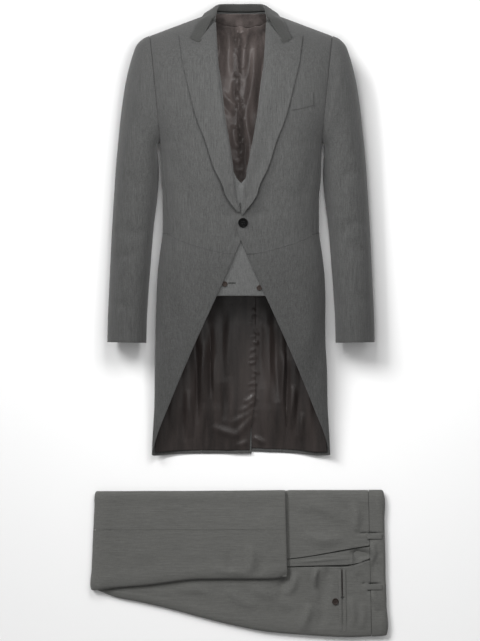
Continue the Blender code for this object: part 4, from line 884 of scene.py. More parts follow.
VEST_LEVELS = (VEST_HEM_Y, 410, 460, 510, 540, 576, VEST_V_Y, 660, 710, 760, 820, ROLL_START)
VEST_ROLL_STEPS = (0.4, 0.75, 1.0)
VEST_FRONT_COLUMNS = 9
VEST_BACK_COLUMNS = 13
VEST_NECK_POWER = 2.5


def vest_levels():
    """Levels of the waistcoat's rows, from its hem over the shoulder."""
    return list(VEST_LEVELS) + [ROLL_START + ROLL_SPAN * s for s in VEST_ROLL_STEPS]


def vest_armhole(level):
    """How far the waistcoat's edge has moved in from its side seam, in degrees."""
    strap = math.degrees(math.asin(VEST_STRAP_SHARE))
    return (VEST_SIDE_ANGLE - strap) * smoothstep(VEST_ARMHOLE_Y, VEST_ARMHOLE_TOP_Y, level)


def vest_edge_x(y, overlap_x):
    """Inner edge of a waistcoat front: its V neck, and below it the overlap."""
    if y >= VEST_V_Y:
        return vest_neck_x(y)
    return overlap_x * min(1.0, (VEST_V_Y - y) / (VEST_V_Y - VEST_OVERLAP_Y))


def vest_front_places(overlap_x):
    """Angles and levels over a waistcoat front."""
    places = []
    for level in vest_levels():
        y = level
        if level > ROLL_START:
            neck_x = vest_neck_x(level)
            y = blend(ROLL_START, shoulder_y(neck_x), (level - ROLL_START) / ROLL_SPAN)
        left = angle_at(vest_edge_x(y, overlap_x), level)
        right = VEST_SIDE_ANGLE - vest_armhole(level)
        places.append([(blend(left, right, t), level) for t in spread(0, 1, VEST_FRONT_COLUMNS)])
    return places


def vest_back_places():
    """Angles and levels over the waistcoat's back."""
    places = []
    for level in vest_levels():
        edge = VEST_BACK_ANGLE + vest_armhole(level)
        row = []
        for t in spread(0, 1, VEST_BACK_COLUMNS):
            angle = blend(edge, 360 - edge, t)
            x = abs(half_width(min(level, SHOULDER_Y)) * sine(angle))
            height = level
            if level > ROLL_START and x < VEST_NECK_X:
                ridge = shoulder_y(VEST_NECK_X)
                out = (x / VEST_NECK_X) ** VEST_NECK_POWER
                neck = VEST_NECK_BACK_Y + (ridge - VEST_NECK_BACK_Y) * out
                top = level_at(x, neck)
                height = blend(ROLL_START, top, (level - ROLL_START) / ROLL_SPAN)
            row.append((angle, height))
        places.append(row)
    return places


# Trousers: folded leg on leg, the waist to the right, the legs turned back at the knee

TROUSERS = table(
    "x top_y bottom_y height",
    (-340, -79.0, -299, 8.5), (-313, -79.0, -302, 8.5), (-284, -79.0, -315, 8.5),
    (-202, -78.5, -333, 9), (-130, -78.5, -351, 9), (-65, -78, -369, 9.5), (11, -77.5, -387, 10),
    (58, -77, -396, 10.5), (151, -76.5, -404, 12), (236, -76.5, -408.5, 13), (294, -76.5, -406, 13),
    (335, -76.5, -403, 13),
)
TURNED_LEG = table(
    "x bottom_y",
    (-340, -304), (-313, -302), (-286, -297.5), (-234, -294), (-169, -286), (-88, -277.5),
    (105, -277),
)
KNEE_X = -328.5
KNEE_LEAN = -0.0455
WAIST_X = 321.8
WAIST_LEAN = 0.026
LEG_HEM_X = 99.7
LEG_HEM_LEAN = 0.0245
WAISTBAND_WIDTH = 35.0
WAISTBAND_LIFT = 0.9
TURNED_LEG_HEIGHT = 7.5
LEG_SEAM_Y = -166.5
HIDDEN_REACH = 30.0
HIDDEN_SEAM_X = 70.0
HIDDEN_FADE_X = 20
POCKET_START = 25
POCKET_FADE_X = 4
FRONT_START = 40
EDGE_ROUND = 3.6
LAYER_GROOVE = 1.7
SHEET_OFFSET = SEAM_GAP + CLOTH
LEG_BASE_GAP = SHEET_OFFSET + LAYER_GAP
SLAB_EASE = 0.8
KNEE_EASE = 2.4

SIDE_POCKET = table(
    "x front_y back_y",
    (60, -235, -252), (112, -231, -250.5), (250, -207.5, -247.5), (272, -203.5, -240),
    (300, -200, -228),
)
POCKET_END_X = 252.0
POCKET_SINK = 1.2
JET_WIDTH = 7.4
JET_THICKNESS = 1.6
JET_TOP_Y = -255.0
JET_BOTTOM_Y = -396.0
JET_LEFT_X = 218.5
JET_STEP = 10.0
JET_LEAN = 0.02
LOOP_THICKNESS = 1.8
LOOP_WIDTH = 12.5
LOOP_Y = (-181.5, -295.5)

trouser_top = Curve(TROUSERS, "top_y", "x")
trouser_bottom = Curve(TROUSERS, "bottom_y", "x")
trouser_height = Curve(TROUSERS, "height", "x")
leg_bottom = Curve(TURNED_LEG, "bottom_y", "x")
pocket_front_y = Curve(SIDE_POCKET, "front_y", "x")
pocket_back_y = Curve(SIDE_POCKET, "back_y", "x")

Station = namedtuple("Station", "x z out_x out_z")


def leg_top_z(x):
    """Height of the hidden layers' top under the turned-back leg."""
    return trouser_height(x) + LEG_BASE_GAP + TURNED_LEG_HEIGHT


def lean_at(x, y, high_x, high_lean):
    """Sideways lean at y, between the knee fold and an end that leans its own way."""
    share = min(max((x - KNEE_X) / (high_x - KNEE_X), 0.0), 1.0)
    return (TROUSERS[0].top_y - y) * blend(KNEE_LEAN, high_lean, share)


def folded_sheet(stations, across, top_y, bottom_y, end, offset):
    """Skin that lies offset above folded layers and turns down over their long edges.

    across holds (kind, value) for each column: "top" and "bottom" turn by value degrees over that
    edge, and "at" gives y as a function of x.
    """
    radius = EDGE_ROUND + offset
    rows = []
    for station in stations:
        row = []
        for kind, value in across:
            rise = offset
            if kind == "at":
                y = value(station.x)
            else:
                turn = math.radians(value)
                inset = SHEET_OFFSET + EDGE_ROUND - radius * math.sin(turn)
                y = top_y(station.x) - inset if kind == "top" else bottom_y(station.x) + inset
                rise = radius * math.cos(turn) - EDGE_ROUND
            x = station.x + lean_at(station.x, y, *end) + station.out_x * rise
            row.append((x, y, station.z + station.out_z * rise))
        rows.append(row)
    return np.array(rows)


def layered_side(height, layers=2, steps=4):
    """Inset and height of an edge with one bulge for each layer, from the bottom up."""
    side = []
    thick = height / layers
    for layer in range(layers):
        for step in range(steps):
            turn = math.pi * (step + 0.5) / steps
            z = thick * (layer + (1 - math.cos(turn)) / 2)
            side.append((LAYER_GROOVE * (1 - math.sin(turn)), z))
    side[0] = (side[0][0], 0.0)
    side[-1] = (side[-1][0], height)
    rounded = []
    for inset, z in side:
        near = max(0.0, (z - height + EDGE_ROUND) / EDGE_ROUND)
        rounded.append((max(inset, EDGE_ROUND * (1 - math.sqrt(max(0.0, 1 - near * near)))), z))
    return rounded


def layered_slab(stations, top_y, bottom_y, base, height, end):
    """Closed solid through sections across the cloth, with layered edges and a rounded knee."""
    shape = bmesh.new()
    rings = []
    for x in stations:
        side = layered_side(height(x))
        low, high = bottom_y(x) + SHEET_OFFSET + SLAB_EASE, top_y(x) - SHEET_OFFSET - SLAB_EASE
        outline = [(low + inset, z) for inset, z in side]
        outline += [(high - inset, z) for inset, z in reversed(side)]
        ring = []
        for y, z in outline:
            z += base(x)
            push = 0.0
            if x < KNEE_X + KNEE_RADIUS:
                push = KNEE_RADIUS - math.sqrt(max(0.0, KNEE_RADIUS ** 2 - (z - KNEE_RADIUS) ** 2))
            ring.append(shape.verts.new((x + lean_at(x, y, *end) + push, y, z)))
        rings.append(ring)
    count = len(rings[0])
    for first, second in zip(rings, rings[1:]):
        for k in range(count):
            m = (k + 1) % count
            shape.faces.new((first[k], first[m], second[m], second[k]))
    shape.faces.new(list(reversed(rings[0])))
    shape.faces.new(rings[-1])
    bmesh.ops.recalc_face_normals(shape, faces=shape.faces)
    return shape


EDGE_TURNS = (0, 35, 65, 92)
KNEE_TURNS = (138, 115, 90, 60, 30)
WAIST_TURNS = (25, 55, 90)
FRONT_SHARES = (0.33, 0.67, 1.0)
TURNED_BACK_SHARES = (0.0, 0.33, 0.67)
SEAT_BACK_SHARES = (0.0, 0.25, 0.5, 0.75)
POCKET_SHARES = (0.07, 0.45, 0.55, 0.93)
WAISTBAND_SHARES = (0.2, 0.4, 0.6, 0.8)
STRIP_ROWS = 4
STRIP_COLUMNS = 6
STRIP_EDGE = 0.5
KNEE_RADIUS = leg_top_z(KNEE_X) / 2
LEG_STATIONS = spread(KNEE_X + SHEET_OFFSET + KNEE_RADIUS, LEG_HEM_X, 9)
SEAT_STATIONS = spread(KNEE_X + SHEET_OFFSET + KNEE_RADIUS, WAIST_X - WAISTBAND_WIDTH, 14)
WAIST_END = (WAIST_X, WAIST_LEAN)
HEM_END = (LEG_HEM_X, LEG_HEM_LEAN)


def flat_stations(places, height):
    """Stations on a level skin, whose height is given by x."""
    return [Station(x, height(x), 0.0, 1.0) for x in places]


def knee_stations(turns):
    """Stations round the knee fold, from near the floor to the top."""
    stations = []
    for degrees in turns:
        turn = math.radians(degrees)
        x = KNEE_X + SHEET_OFFSET + KNEE_RADIUS * (1 - math.sin(turn))
        z = KNEE_RADIUS * (1 + math.cos(turn))
        stations.append(Station(x, z, -math.sin(turn), math.cos(turn)))
    return stations


def waist_stations():
    """Stations along the waistband, whose outer end turns down."""
    low, high = WAIST_X - WAISTBAND_WIDTH + SEAM_GAP, WAIST_X - SHEET_OFFSET - EDGE_ROUND - 1
    places = spread(low, high, 3)
    stations = flat_stations(places, lambda x: trouser_height(x) + WAISTBAND_LIFT)
    for degrees in WAIST_TURNS:
        turn = math.radians(degrees)
        x = WAIST_X - SHEET_OFFSET - WAISTBAND_LIFT - EDGE_ROUND * (1 - math.sin(turn))
        z = trouser_height(x) + WAISTBAND_LIFT - EDGE_ROUND * (1 - math.cos(turn))
        stations.append(Station(x, z, math.sin(turn), math.cos(turn)))
    return stations


def between(first, second, shares):
    """Columns that run from one line to another, each given as y by x."""
    return [("at", lambda x, s=s: blend(first(x), second(x), s)) for s in shares]


def edge_in(edge, sign):
    """Line just inside a long edge, where its rounding starts."""
    return lambda x: edge(x) - sign * (SHEET_OFFSET + EDGE_ROUND)


def folded_grids(stations, across, top_y, bottom_y, end, thickness=CLOTH, lift=0.0):
    """Outer and under skin of one visible piece of the folded trousers."""
    outer = folded_sheet(stations, across, top_y, bottom_y, end, SEAM_GAP + lift + thickness)
    under = folded_sheet(stations, across, top_y, bottom_y, end, SEAM_GAP + lift)
    return pulled_in(outer), pulled_in(under)


def turned_leg_grids(front):
    """Front or back panel of the turned-back leg, round the knee and up to its hem."""
    stations = knee_stations(KNEE_TURNS) + flat_stations(LEG_STATIONS, leg_top_z)
    if front:
        across = [("top", turn) for turn in reversed(EDGE_TURNS)]
        across += between(edge_in(trouser_top, 1), lambda x: LEG_SEAM_Y, FRONT_SHARES)
    else:
        across = between(lambda x: LEG_SEAM_Y, edge_in(leg_bottom, -1), TURNED_BACK_SHARES)
        across += [("bottom", turn) for turn in EDGE_TURNS]
    return folded_grids(stations, across, trouser_top, leg_bottom, HEM_END)


def seat_grids(front):
    """Front or back panel of the lower leg, from under the turned-back leg to the waist."""
    places = [x for x in SEAT_STATIONS if x > HIDDEN_SEAM_X - FRONT_START or not front]
    stations = flat_stations(places, trouser_height)
    if front:
        across = [("top", turn) for turn in reversed(EDGE_TURNS)]
        across += between(edge_in(trouser_top, 1), pocket_front_y, FRONT_SHARES)
    else:
        def upper(x):
            shown = smoothstep(HIDDEN_SEAM_X - HIDDEN_FADE_X, HIDDEN_SEAM_X + HIDDEN_FADE_X, x)
            return blend(leg_bottom(x) + HIDDEN_REACH, pocket_back_y(x), shown)
        across = between(upper, edge_in(trouser_bottom, -1), SEAT_BACK_SHARES)
        across += [("bottom", turn) for turn in EDGE_TURNS]
    return folded_grids(stations, across, trouser_top, trouser_bottom, WAIST_END)


def side_pocket_grids():
    """Pocket facing that shows between front and back, sunk where the opening gapes."""
    stations = []
    places = spread(HIDDEN_SEAM_X + POCKET_START, WAIST_X - WAISTBAND_WIDTH, 9)
    for station in flat_stations(places, trouser_height):
        gape = smoothstep(POCKET_END_X - POCKET_FADE_X, POCKET_END_X + POCKET_FADE_X, station.x)
        stations.append(station._replace(z=station.z - POCKET_SINK * gape + POCKET_SINK))
    across = between(pocket_front_y, pocket_back_y, POCKET_SHARES)
    return folded_grids(stations, across, trouser_top, trouser_bottom, WAIST_END, thickness=SATIN)


def waistband_grids():
    """The waistband, turned down at its outer end and over both long edges."""
    across = [("top", turn) for turn in reversed(EDGE_TURNS)]
    across += between(edge_in(trouser_top, 1), edge_in(trouser_bottom, -1), WAISTBAND_SHARES)
    across += [("bottom", turn) for turn in EDGE_TURNS]
    return folded_grids(waist_stations(), across, trouser_top, trouser_bottom, WAIST_END,
                        DOUBLED_CLOTH)


def strip_grids(x_low, x_high, y_low, y_high, floor, thickness, lean=0.0):
    """Narrow band laid flat on a height, with a lean from its upper to its lower end."""
    outer, under = [], []
    for x in spread(x_low, x_high, STRIP_ROWS):
        outer_row, under_row = [], []
        for y in spread(y_low, y_high, STRIP_COLUMNS):
            shift = lean * (y_high - y)
            edge = STRIP_EDGE if x in (x_low, x_high) or y in (y_low, y_high) else 0.0
            base = floor(x + shift) + LAYER_GAP
            outer_row.append((x + shift, y, base + thickness - edge))
            under_row.append((x + shift, y, base))
        outer.append(outer_row)
        under.append(under_row)
    return np.array(outer), np.array(under)


def seat_surface_z(x):
    """Height of the cloth under the back pocket."""
    return trouser_height(x) + SHEET_OFFSET


def waistband_surface_z(x):
    """Height of the cloth under the belt loops."""
    return trouser_height(x) + WAISTBAND_LIFT + SEAM_GAP + DOUBLED_CLOTH + WAISTBAND_LIFT / 2


# Fine grids

SHIFT = np.array((4.4497, -304.3011, 0.0))
FINE = 4.5
SHARP_ANGLE = 65.0
RIM_STEPS = (30, 90, 150)
RIM_BULGE = 0.3
TUCK_REACH = 2.6
BUTT_GAP = 0.1
EDGE_FREE_Y = 800.0
FAR_AWAY = 1e3
FRONTWARD = np.array((0.0, 0.0, 1.0))


def refined(grid, spacing):
    """The grid with rows about spacing apart, through the ones it has.

    The last three numbers of each entry are its point, from which the distances are taken.
    """
    step = np.linalg.norm(np.diff(grid[..., -3:], axis=0), axis=-1).mean(axis=1)
    step = np.maximum(step, NEARLY)
    gaps = step[:, None, None]
    rise = np.diff(grid, axis=0) / gaps
    lean = np.empty_like(grid)
    lean[0], lean[-1] = rise[0], rise[-1]
    lean[1:-1] = (rise[:-1] * gaps[1:] + rise[1:] * gaps[:-1]) / (gaps[:-1] + gaps[1:])
    rows = []
    for k, gap in enumerate(step):
        count = max(1, int(round(gap / spacing)))
        ends = (grid[k], grid[k + 1], lean[k], lean[k + 1])
        rows += [hermite(t, gap, *ends) for t in np.arange(count) / count]
    return np.array(rows + [grid[-1]])


def finer(grid, spacing):
    """The grid with rows and columns about spacing apart."""
    return refined(refined(grid, spacing).swapaxes(0, 1), spacing).swapaxes(0, 1)


def fine_skin(places, lift, spacing, edge_x=None, back=False):
    """Fine grid of points over the coat body; edge_x gives the first column's x at each height."""
    both = [[(*place, *body_skin(*place)) for place in row] for row in places]
    fine = finer(np.array(both), spacing)
    if edge_x:
        for row in fine:
            level = row[0, 1]
            if level < EDGE_FREE_Y:
                shift = angle_at(edge_x(level), level, back) - row[0, 0]
                row[:, 0] += shift * (1 - np.linspace(0, 1, len(row))) ** 2
    return skin(fine[..., :2], lift)


def normals_of(grid, toward):
    """Unit normals of a grid, on the side on which toward lies at its middle."""
    across = np.gradient(grid, axis=1)
    along = np.gradient(grid, axis=0)
    normal = np.cross(across, along)
    normal /= np.maximum(np.linalg.norm(normal, axis=-1, keepdims=True), NO_LENGTH)
    return normal if np.sum(np.sum(normal * toward, axis=-1)) > 0 else -normal


def border_distance(grid, sides):
    """Distance of each point from the nearest wanted border; sides is as in pulled_in."""
    best = np.full(grid.shape[:2], FAR_AWAY)
    for axis in (0, 1):
        step = np.linalg.norm(np.diff(grid, axis=axis), axis=-1)
        start = np.zeros_like(step.take([0], axis=axis))
        run = np.concatenate([start, np.cumsum(step, axis=axis)], axis=axis)
        whole = run.take([-1], axis=axis)
        if sides[2 * axis]:
            best = np.minimum(best, run)
        if sides[2 * axis + 1]:
            best = np.minimum(best, whole - run)
    return best


def shell_mesh(name, outer, inner, butted):
    """Thin closed shell between two fine grids, rounded at the borders that aren't butted."""
    rounded = np.ones(outer.shape[:2])
    for wanted, border in zip(butted, (rounded[0], rounded[-1], rounded[:, 0], rounded[:, -1])):
        if wanted:
            border[:] = 0
    rows, columns = outer.shape[:2]
    index = np.arange(rows * columns).reshape(rows, columns)
    a, b, c, d = index[:-1, :-1], index[:-1, 1:], index[1:, 1:], index[1:, :-1]
    quads = np.stack([a, b, c, d], axis=-1).reshape(-1, 4)
    under = quads[:, ::-1] + rows * columns
    rim = list(index[0]) + list(index[1:, -1]) + list(index[-1, -2::-1]) + list(index[-2:0:-1, 0])
    inward = {}
    for lines in (index, index[::-1], index.T, index.T[::-1]):
        for p, q in zip(lines[0], lines[1]):
            inward.setdefault(int(p), []).append(int(q))
    top, low = outer.reshape(-1, 3), inner.reshape(-1, 3)
    away = np.array([top[p] - np.mean([top[q] for q in inward[int(p)]], axis=0) for p in rim])
    away /= np.maximum(np.linalg.norm(away, axis=1, keepdims=True), NO_LENGTH)
    middle, half = (top[rim] + low[rim]) / 2, (top[rim] - low[rim]) / 2
    reach = np.linalg.norm(half, axis=1, keepdims=True) * 2 * RIM_BULGE
    reach = reach * rounded.reshape(-1, 1)[rim]
    loops = [np.array(rim)]
    points = [top, low]
    count = 2 * rows * columns
    for degrees in RIM_STEPS:
        turn = math.radians(degrees)
        points.append(middle + half * math.cos(turn) + away * reach * math.sin(turn))
        loops.append(np.arange(len(rim)) + count)
        count += len(rim)
    loops.append(np.array(rim) + rows * columns)
    sides = []
    for first, second in zip(loops, loops[1:]):
        sides.append(np.stack([np.roll(first, -1), first, second, np.roll(second, -1)], axis=-1))
    faces = np.concatenate([quads, under] + sides)
    points = np.concatenate(points)
    points[:, 2] = np.maximum(points[:, 2], 0.0)
    corner = points[faces]
    volume = np.sum(corner[:, 0] * np.cross(corner[:, 1], corner[:, 2]))
    volume += np.sum(corner[:, 0] * np.cross(corner[:, 2], corner[:, 3]))
    if volume < 0:
        faces = faces[:, ::-1]
    return softened(new_mesh(name, points, faces.tolist()), SHARP_ANGLE)


def new_mesh(name, points, faces):
    """Mesh from points in the part's own millimetres."""
    mesh = bpy.data.meshes.new(name)
    mesh.from_pydata(((points + SHIFT) * MM).tolist(), [], faces)
    return mesh


def softened(mesh, sharp_angle):
    """The mesh, shaded smooth up to that angle between its faces."""
    mesh.shade_smooth()
    mesh.set_sharp_from_angle(angle=math.radians(sharp_angle))
    return mesh


def linked(name, data):
    """A new object of the scene."""
    made = bpy.data.objects.new(name, data)
    bpy.context.scene.collection.objects.link(made)
    return made


def place_piece(name, mesh, nodes, material):
    """A piece of the suit, which stands for the CAD nodes."""
    piece = linked(name, mesh)
    piece.data.materials.append(material)
    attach(piece, "root")
    if nodes:
        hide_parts(*nodes)
    return piece


def cloth(name, nodes, outer, toward, thickness, material, slot, held="laid", rests_on=("floor",),
          relief=None, seams=(1, 1, 1, 1), tuck=0.0, inner=None, butted=(0, 0, 0, 0), filled=False,
          declared=True, with_pieces=()):
    """One cut piece: a fine outer grid, creased, tucked in at its seams and given its thickness.

    seams and butted mark borders, in the order of pulled_in. A filled piece keeps its inner grid
    under ridges. declared is not used.
    """
    normal = normals_of(outer, toward)
    lift = np.zeros(outer.shape[:2])
    if tuck:
        away = border_distance(outer, seams)
        lift -= tuck * np.exp(-(away / TUCK_REACH) ** 2)
    if relief:
        lift += relief(outer)
    outer = outer + normal * lift[..., None]
    gap = SEAM_GAP / 2 + RIM_BULGE * thickness
    free = tuple(not side for side in butted)
    if inner is None:
        under = outer - normals_of(outer, toward) * thickness
    else:
        under = inner + normal * (np.minimum(lift, 0.0) if filled else lift)[..., None]
    faces = [pulled_in(pulled_in(grid, gap, free), BUTT_GAP, butted) for grid in (outer, under)]
    mesh = shell_mesh(name, *faces, butted)
    piece = place_piece(name, mesh, nodes, material)
    if not declared:
        return piece
    return piece


# Materials


def node(tree, kind, **values):
    """Adds a shader node; values are its properties or, where sockets are given, its inputs."""
    made = tree.nodes.new("ShaderNode" + kind)
    for key, value in values.items():
        if key in made.bl_rna.properties:
            setattr(made, key, value)
        elif isinstance(value, bpy.types.NodeSocket):
            tree.links.new(value, made.inputs[key.replace("_", " ")])
        else:
            made.inputs[key.replace("_", " ")].default_value = value
    return made


def new_look(name, colour, **shader_values):
    """A material whose shader has the plain values set on its own sockets."""
    material = bpy.data.materials.new(name)
    material.use_nodes = True
    shader = material.node_tree.nodes["Principled BSDF"]
    shader.inputs["Base Color"].default_value = (*colour, 1.0)
    for key, value in shader_values.items():
        shader.inputs[key.replace("_", " ")].default_value = value
    return material, material.node_tree, shader


def streaks(tree, place, scale, detail=2.0):
    """Noise stretched into threads; scale is how many there are a metre along each axis."""
    mapping = node(tree, "Mapping", Vector=place)
    mapping.inputs["Scale"].default_value = scale
    noise = node(tree, "TexNoise", Vector=mapping.outputs["Vector"], Scale=1.0, Detail=detail,
                 Roughness=0.55)
    return noise.outputs["Fac"]


def shades(colour, factors):
    """Darker or paler versions of a colour."""
    return [tuple(c * k for c in colour) + (1.0,) for k in factors]


def tint(tree, shader, fac, colours, places=(0.0, 1.0)):
    """Colours the cloth or horn by fac, from the first colour to the second."""
    ramp = node(tree, "ValToRGB", Fac=fac)
    for element, colour, place in zip(ramp.color_ramp.elements, colours, places):
        element.color, element.position = colour, place
    tree.links.new(ramp.outputs["Color"], shader.inputs["Base Color"])


def roughen(tree, shader, fac, strength, distance):
    """Bumps the surface by fac."""
    bump = node(tree, "Bump", Strength=strength, Distance=distance, Height=fac)
    tree.links.new(bump.outputs["Normal"], shader.inputs["Normal"])


def maths(tree, operation, first, second):
    """Socket with the result of a sum on two sockets or numbers."""
    made = tree.nodes.new("ShaderNodeMath")
    made.operation = operation
    for socket, value in zip(made.inputs, (first, second)):
        if isinstance(value, bpy.types.NodeSocket):
            tree.links.new(value, socket)
        else:
            socket.default_value = value
    return made.outputs[0]


MIX_FACTOR, MIX_COLOURS, MIX_RESULT = 0, (6, 7), 2
WOOL_SHADES = (0.5, 1.5)
HORN_SHADES = (0.5, 1.9)
SATIN_PLACES = (0.38, 0.62)
SATIN_GRAIN = (1600, 120, 1600)
# Painted shade: scale of the long streaks that darken and lighten the satin like the shading of
# folds
SATIN_SHADE_STREAKS = (42, 5, 42)
GRAIN_SHARE = 0.3
SHADE_STREAK_SHARE = 0.7
HORN_STREAKS = (260, 90, 260)
WOOL_BUMP = (0.35, 0.0004)
SATIN_BUMP = (0.12, 0.0003)
COAT_GREY = (0.0518, 0.0522, 0.0513)
COLLAR_GREY = (0.0318, 0.0322, 0.0307)
VEST_GREY = (0.080, 0.081, 0.080)
TROUSER_GREY = (0.091, 0.091, 0.086)
LINING_BROWN = (0.0190, 0.0148, 0.0136)
VEST_BROWN = (0.072, 0.060, 0.0565)
BUTTON_BLACK = (0.003, 0.003, 0.003)
BUTTON_BROWN = (0.026, 0.0202, 0.0178)
YARNS = table(
    "across along weight",
    (1100, 70, 0.9), (420, 16, 0.75), (90, 900, 0.35), (500, 500, 0.5), (9, 4, 0.16),
)


def wool(name, colour, along, contrast=1.0):
    """Worsted wool melange: fine threads, slubs along the cloth and a little unevenness."""
    material, tree, shader = new_look(name, colour, Roughness=0.88, Sheen_Weight=0.12,
                                      Sheen_Roughness=0.55, Specular_IOR_Level=0.25)
    place = node(tree, "TexCoord").outputs["Object"]
    total = None
    for yarn in YARNS:
        scale = [yarn.across] * 3
        scale["XY".index(along)] = yarn.along
        part = maths(tree, "SUBTRACT", streaks(tree, place, scale), 0.5)
        part = maths(tree, "MULTIPLY", part, yarn.weight)
        total = part if total is None else maths(tree, "ADD", total, part)
    fac = maths(tree, "ADD", maths(tree, "MULTIPLY", total, contrast), 0.5)
    mix = tree.nodes.new("ShaderNodeMix")
    mix.data_type = "RGBA"
    tree.links.new(fac, mix.inputs[MIX_FACTOR])
    for socket, shade in zip(MIX_COLOURS, shades(colour, WOOL_SHADES)):
        mix.inputs[socket].default_value = shade
    tree.links.new(mix.outputs[MIX_RESULT], shader.inputs["Base Color"])
    roughen(tree, shader, fac, *WOOL_BUMP)
    return material


def satin(name, colour, grain_and_shade_spread, roughness, level):
    """Satin with a fine grain and painted shade: long dark and light streaks stand in for the
    shading of its folds, and the spread sets how far the colour swings darker and paler.
    """
    material, tree, shader = new_look(name, colour, Roughness=roughness, Sheen_Weight=0.06,
                                      Anisotropic=0.4, Specular_IOR_Level=level)
    place = node(tree, "TexCoord").outputs["Object"]
    fac = streaks(tree, place, SATIN_GRAIN)
    # Painted shade: long streaks that darken and lighten the colour like the shading of folds
    wander = streaks(tree, place, SATIN_SHADE_STREAKS, detail=3.0)
    both = maths(tree, "ADD", maths(tree, "MULTIPLY", fac, GRAIN_SHARE),
                 maths(tree, "MULTIPLY", wander, SHADE_STREAK_SHARE))
    tint(tree, shader, both, shades(colour, (1 - grain_and_shade_spread, 1 + grain_and_shade_spread)), SATIN_PLACES)
    roughen(tree, shader, fac, *SATIN_BUMP)
    return material


def horn(name, colour, roughness):
    """Polished horn with a few streaks."""
    material, tree, shader = new_look(name, colour, Roughness=roughness, Specular_IOR_Level=0.12)
    place = node(tree, "TexCoord").outputs["Object"]
    fac = streaks(tree, place, HORN_STREAKS, detail=3.0)
    tint(tree, shader, fac, shades(colour, HORN_SHADES))
    return material


coat_cloth = wool("coat_worsted", COAT_GREY, "Y")
collar_cloth = wool("collar_worsted", COLLAR_GREY, "Y", contrast=0.8)
vest_cloth = wool("waistcoat_worsted", VEST_GREY, "Y", contrast=0.8)
trouser_cloth = wool("trouser_worsted", TROUSER_GREY, "X", contrast=0.6)
lining_cloth = satin("lining_satin", LINING_BROWN, grain_and_shade_spread=0.45, roughness=0.36, level=0.3)
vest_satin = satin("waistcoat_satin", VEST_BROWN, grain_and_shade_spread=0.45, roughness=0.27, level=0.45)
black_button = horn("black_horn", BUTTON_BLACK, roughness=0.12)
brown_button = horn("brown_horn", BUTTON_BROWN, roughness=0.35)


# Creases of the coat

CREASE_FIELDS = "x1 y1 x2 y2 width depth"
COAT_CREASES = table(
    CREASE_FIELDS,
    (-170, 690, -120, 560, 16, -2.2), (168, 690, 126, 570, 15, -2.0),
    (-60, 560, -20, 530, 12, -1.4), (66, 556, 24, 528, 12, -1.3), (-140, 430, -120, 200, 22, 2.2),
    (142, 420, 126, 180, 22, 2.2), (-172, 400, -160, 120, 16, -2.0), (170, 390, 160, 130, 16, -1.8),
)
SLEEVE_CREASES = table(
    CREASE_FIELDS,
    (-262, 640, -222, 600, 12, -2.2), (-280, 520, -214, 494, 13, -2.4),
    (-286, 440, -226, 470, 12, -1.6), (-290, 350, -240, 330, 12, -1.3),
    (262, 650, 222, 612, 12, -2.0), (282, 530, 216, 500, 13, -2.4), (286, 452, 232, 474, 12, -1.5),
    (292, 360, 246, 338, 12, -1.2),
)

LAPEL_FOLDS = table(
    CREASE_FIELDS,
    (78, 922, 124, 935, 4.0, -4.0), (-78, 922, -124, 935, 4.0, -4.0),
)
VEST_SATIN_FOLDS = table(
    CREASE_FIELDS,
    (18, 985, 6, 850, 12, 6.5), (34, 950, 10, 770, 9, 5.0), (55, 925, 34, 770, 9, -6.0),
    (36, 978, 60, 958, 6, 3.5), (-49, 968, -47, 900, 7, -4.5), (-32, 960, -26, 850, 11, 4.0),
    (-50, 824, -9, 786, 7, 4.0), (-46, 800, -16, 762, 7, -3.0), (-14, 850, -12, 792, 6, -3.5),
    (1, 980, 3, 960, 6, -3.0), (-4, 944, 2, 924, 6, -4.0), (12, 790, 20, 700, 7, 3.5),
    (-20, 740, -8, 690, 6, 3.0), (8, 720, 12, 640, 5, -3.0), (-5, 1005, -6, 840, 3.2, -2.6),
    (-7, 860, 0, 612, 3.2, -2.6),
)
LINING_FOLDS = table(
    CREASE_FIELDS,
    (-97, 215, -95, 70, 6, -4.0), (-84, 260, -86, 120, 6, 5.0), (-68, 290, -70, 130, 3.6, -5.0),
    (-60, 230, -56, 120, 7, 3.5), (-38, 165, -36, 78, 9, -3.5), (-20, 330, -30, 180, 12, 2.5),
    (-118, 150, -112, 40, 7, 4.5), (-132, 110, -126, 30, 6, -3.0), (66, 300, 60, 120, 8, 4.5),
    (50, 290, 46, 150, 7, -2.5), (83, 290, 82, 120, 7, -5.5), (95, 240, 93, 110, 5, 5.5),
    (108, 215, 106, 90, 6, -5.0), (118, 160, 114, 60, 5, 4.5), (128, 145, 126, 45, 5, -4.0),
    (140, 100, 136, 35, 6, 3.5), (-78, 140, -78, 22, 2.4, -2.4), (102, 158, 102, 24, 2.4, -2.4),
    (-66, 66, -6, 42, 8, 4.0), (-14, 40, 32, 96, 8, 4.0), (-24, 70, 34, 108, 7, 3.0),
    (-4, 96, 36, 128, 6, 2.6), (28, 43, 56, 27, 5, 4.0), (6, 118, 34, 136, 6, 3.0),
    (-10, 20, 16, 34, 6, 2.5),
)
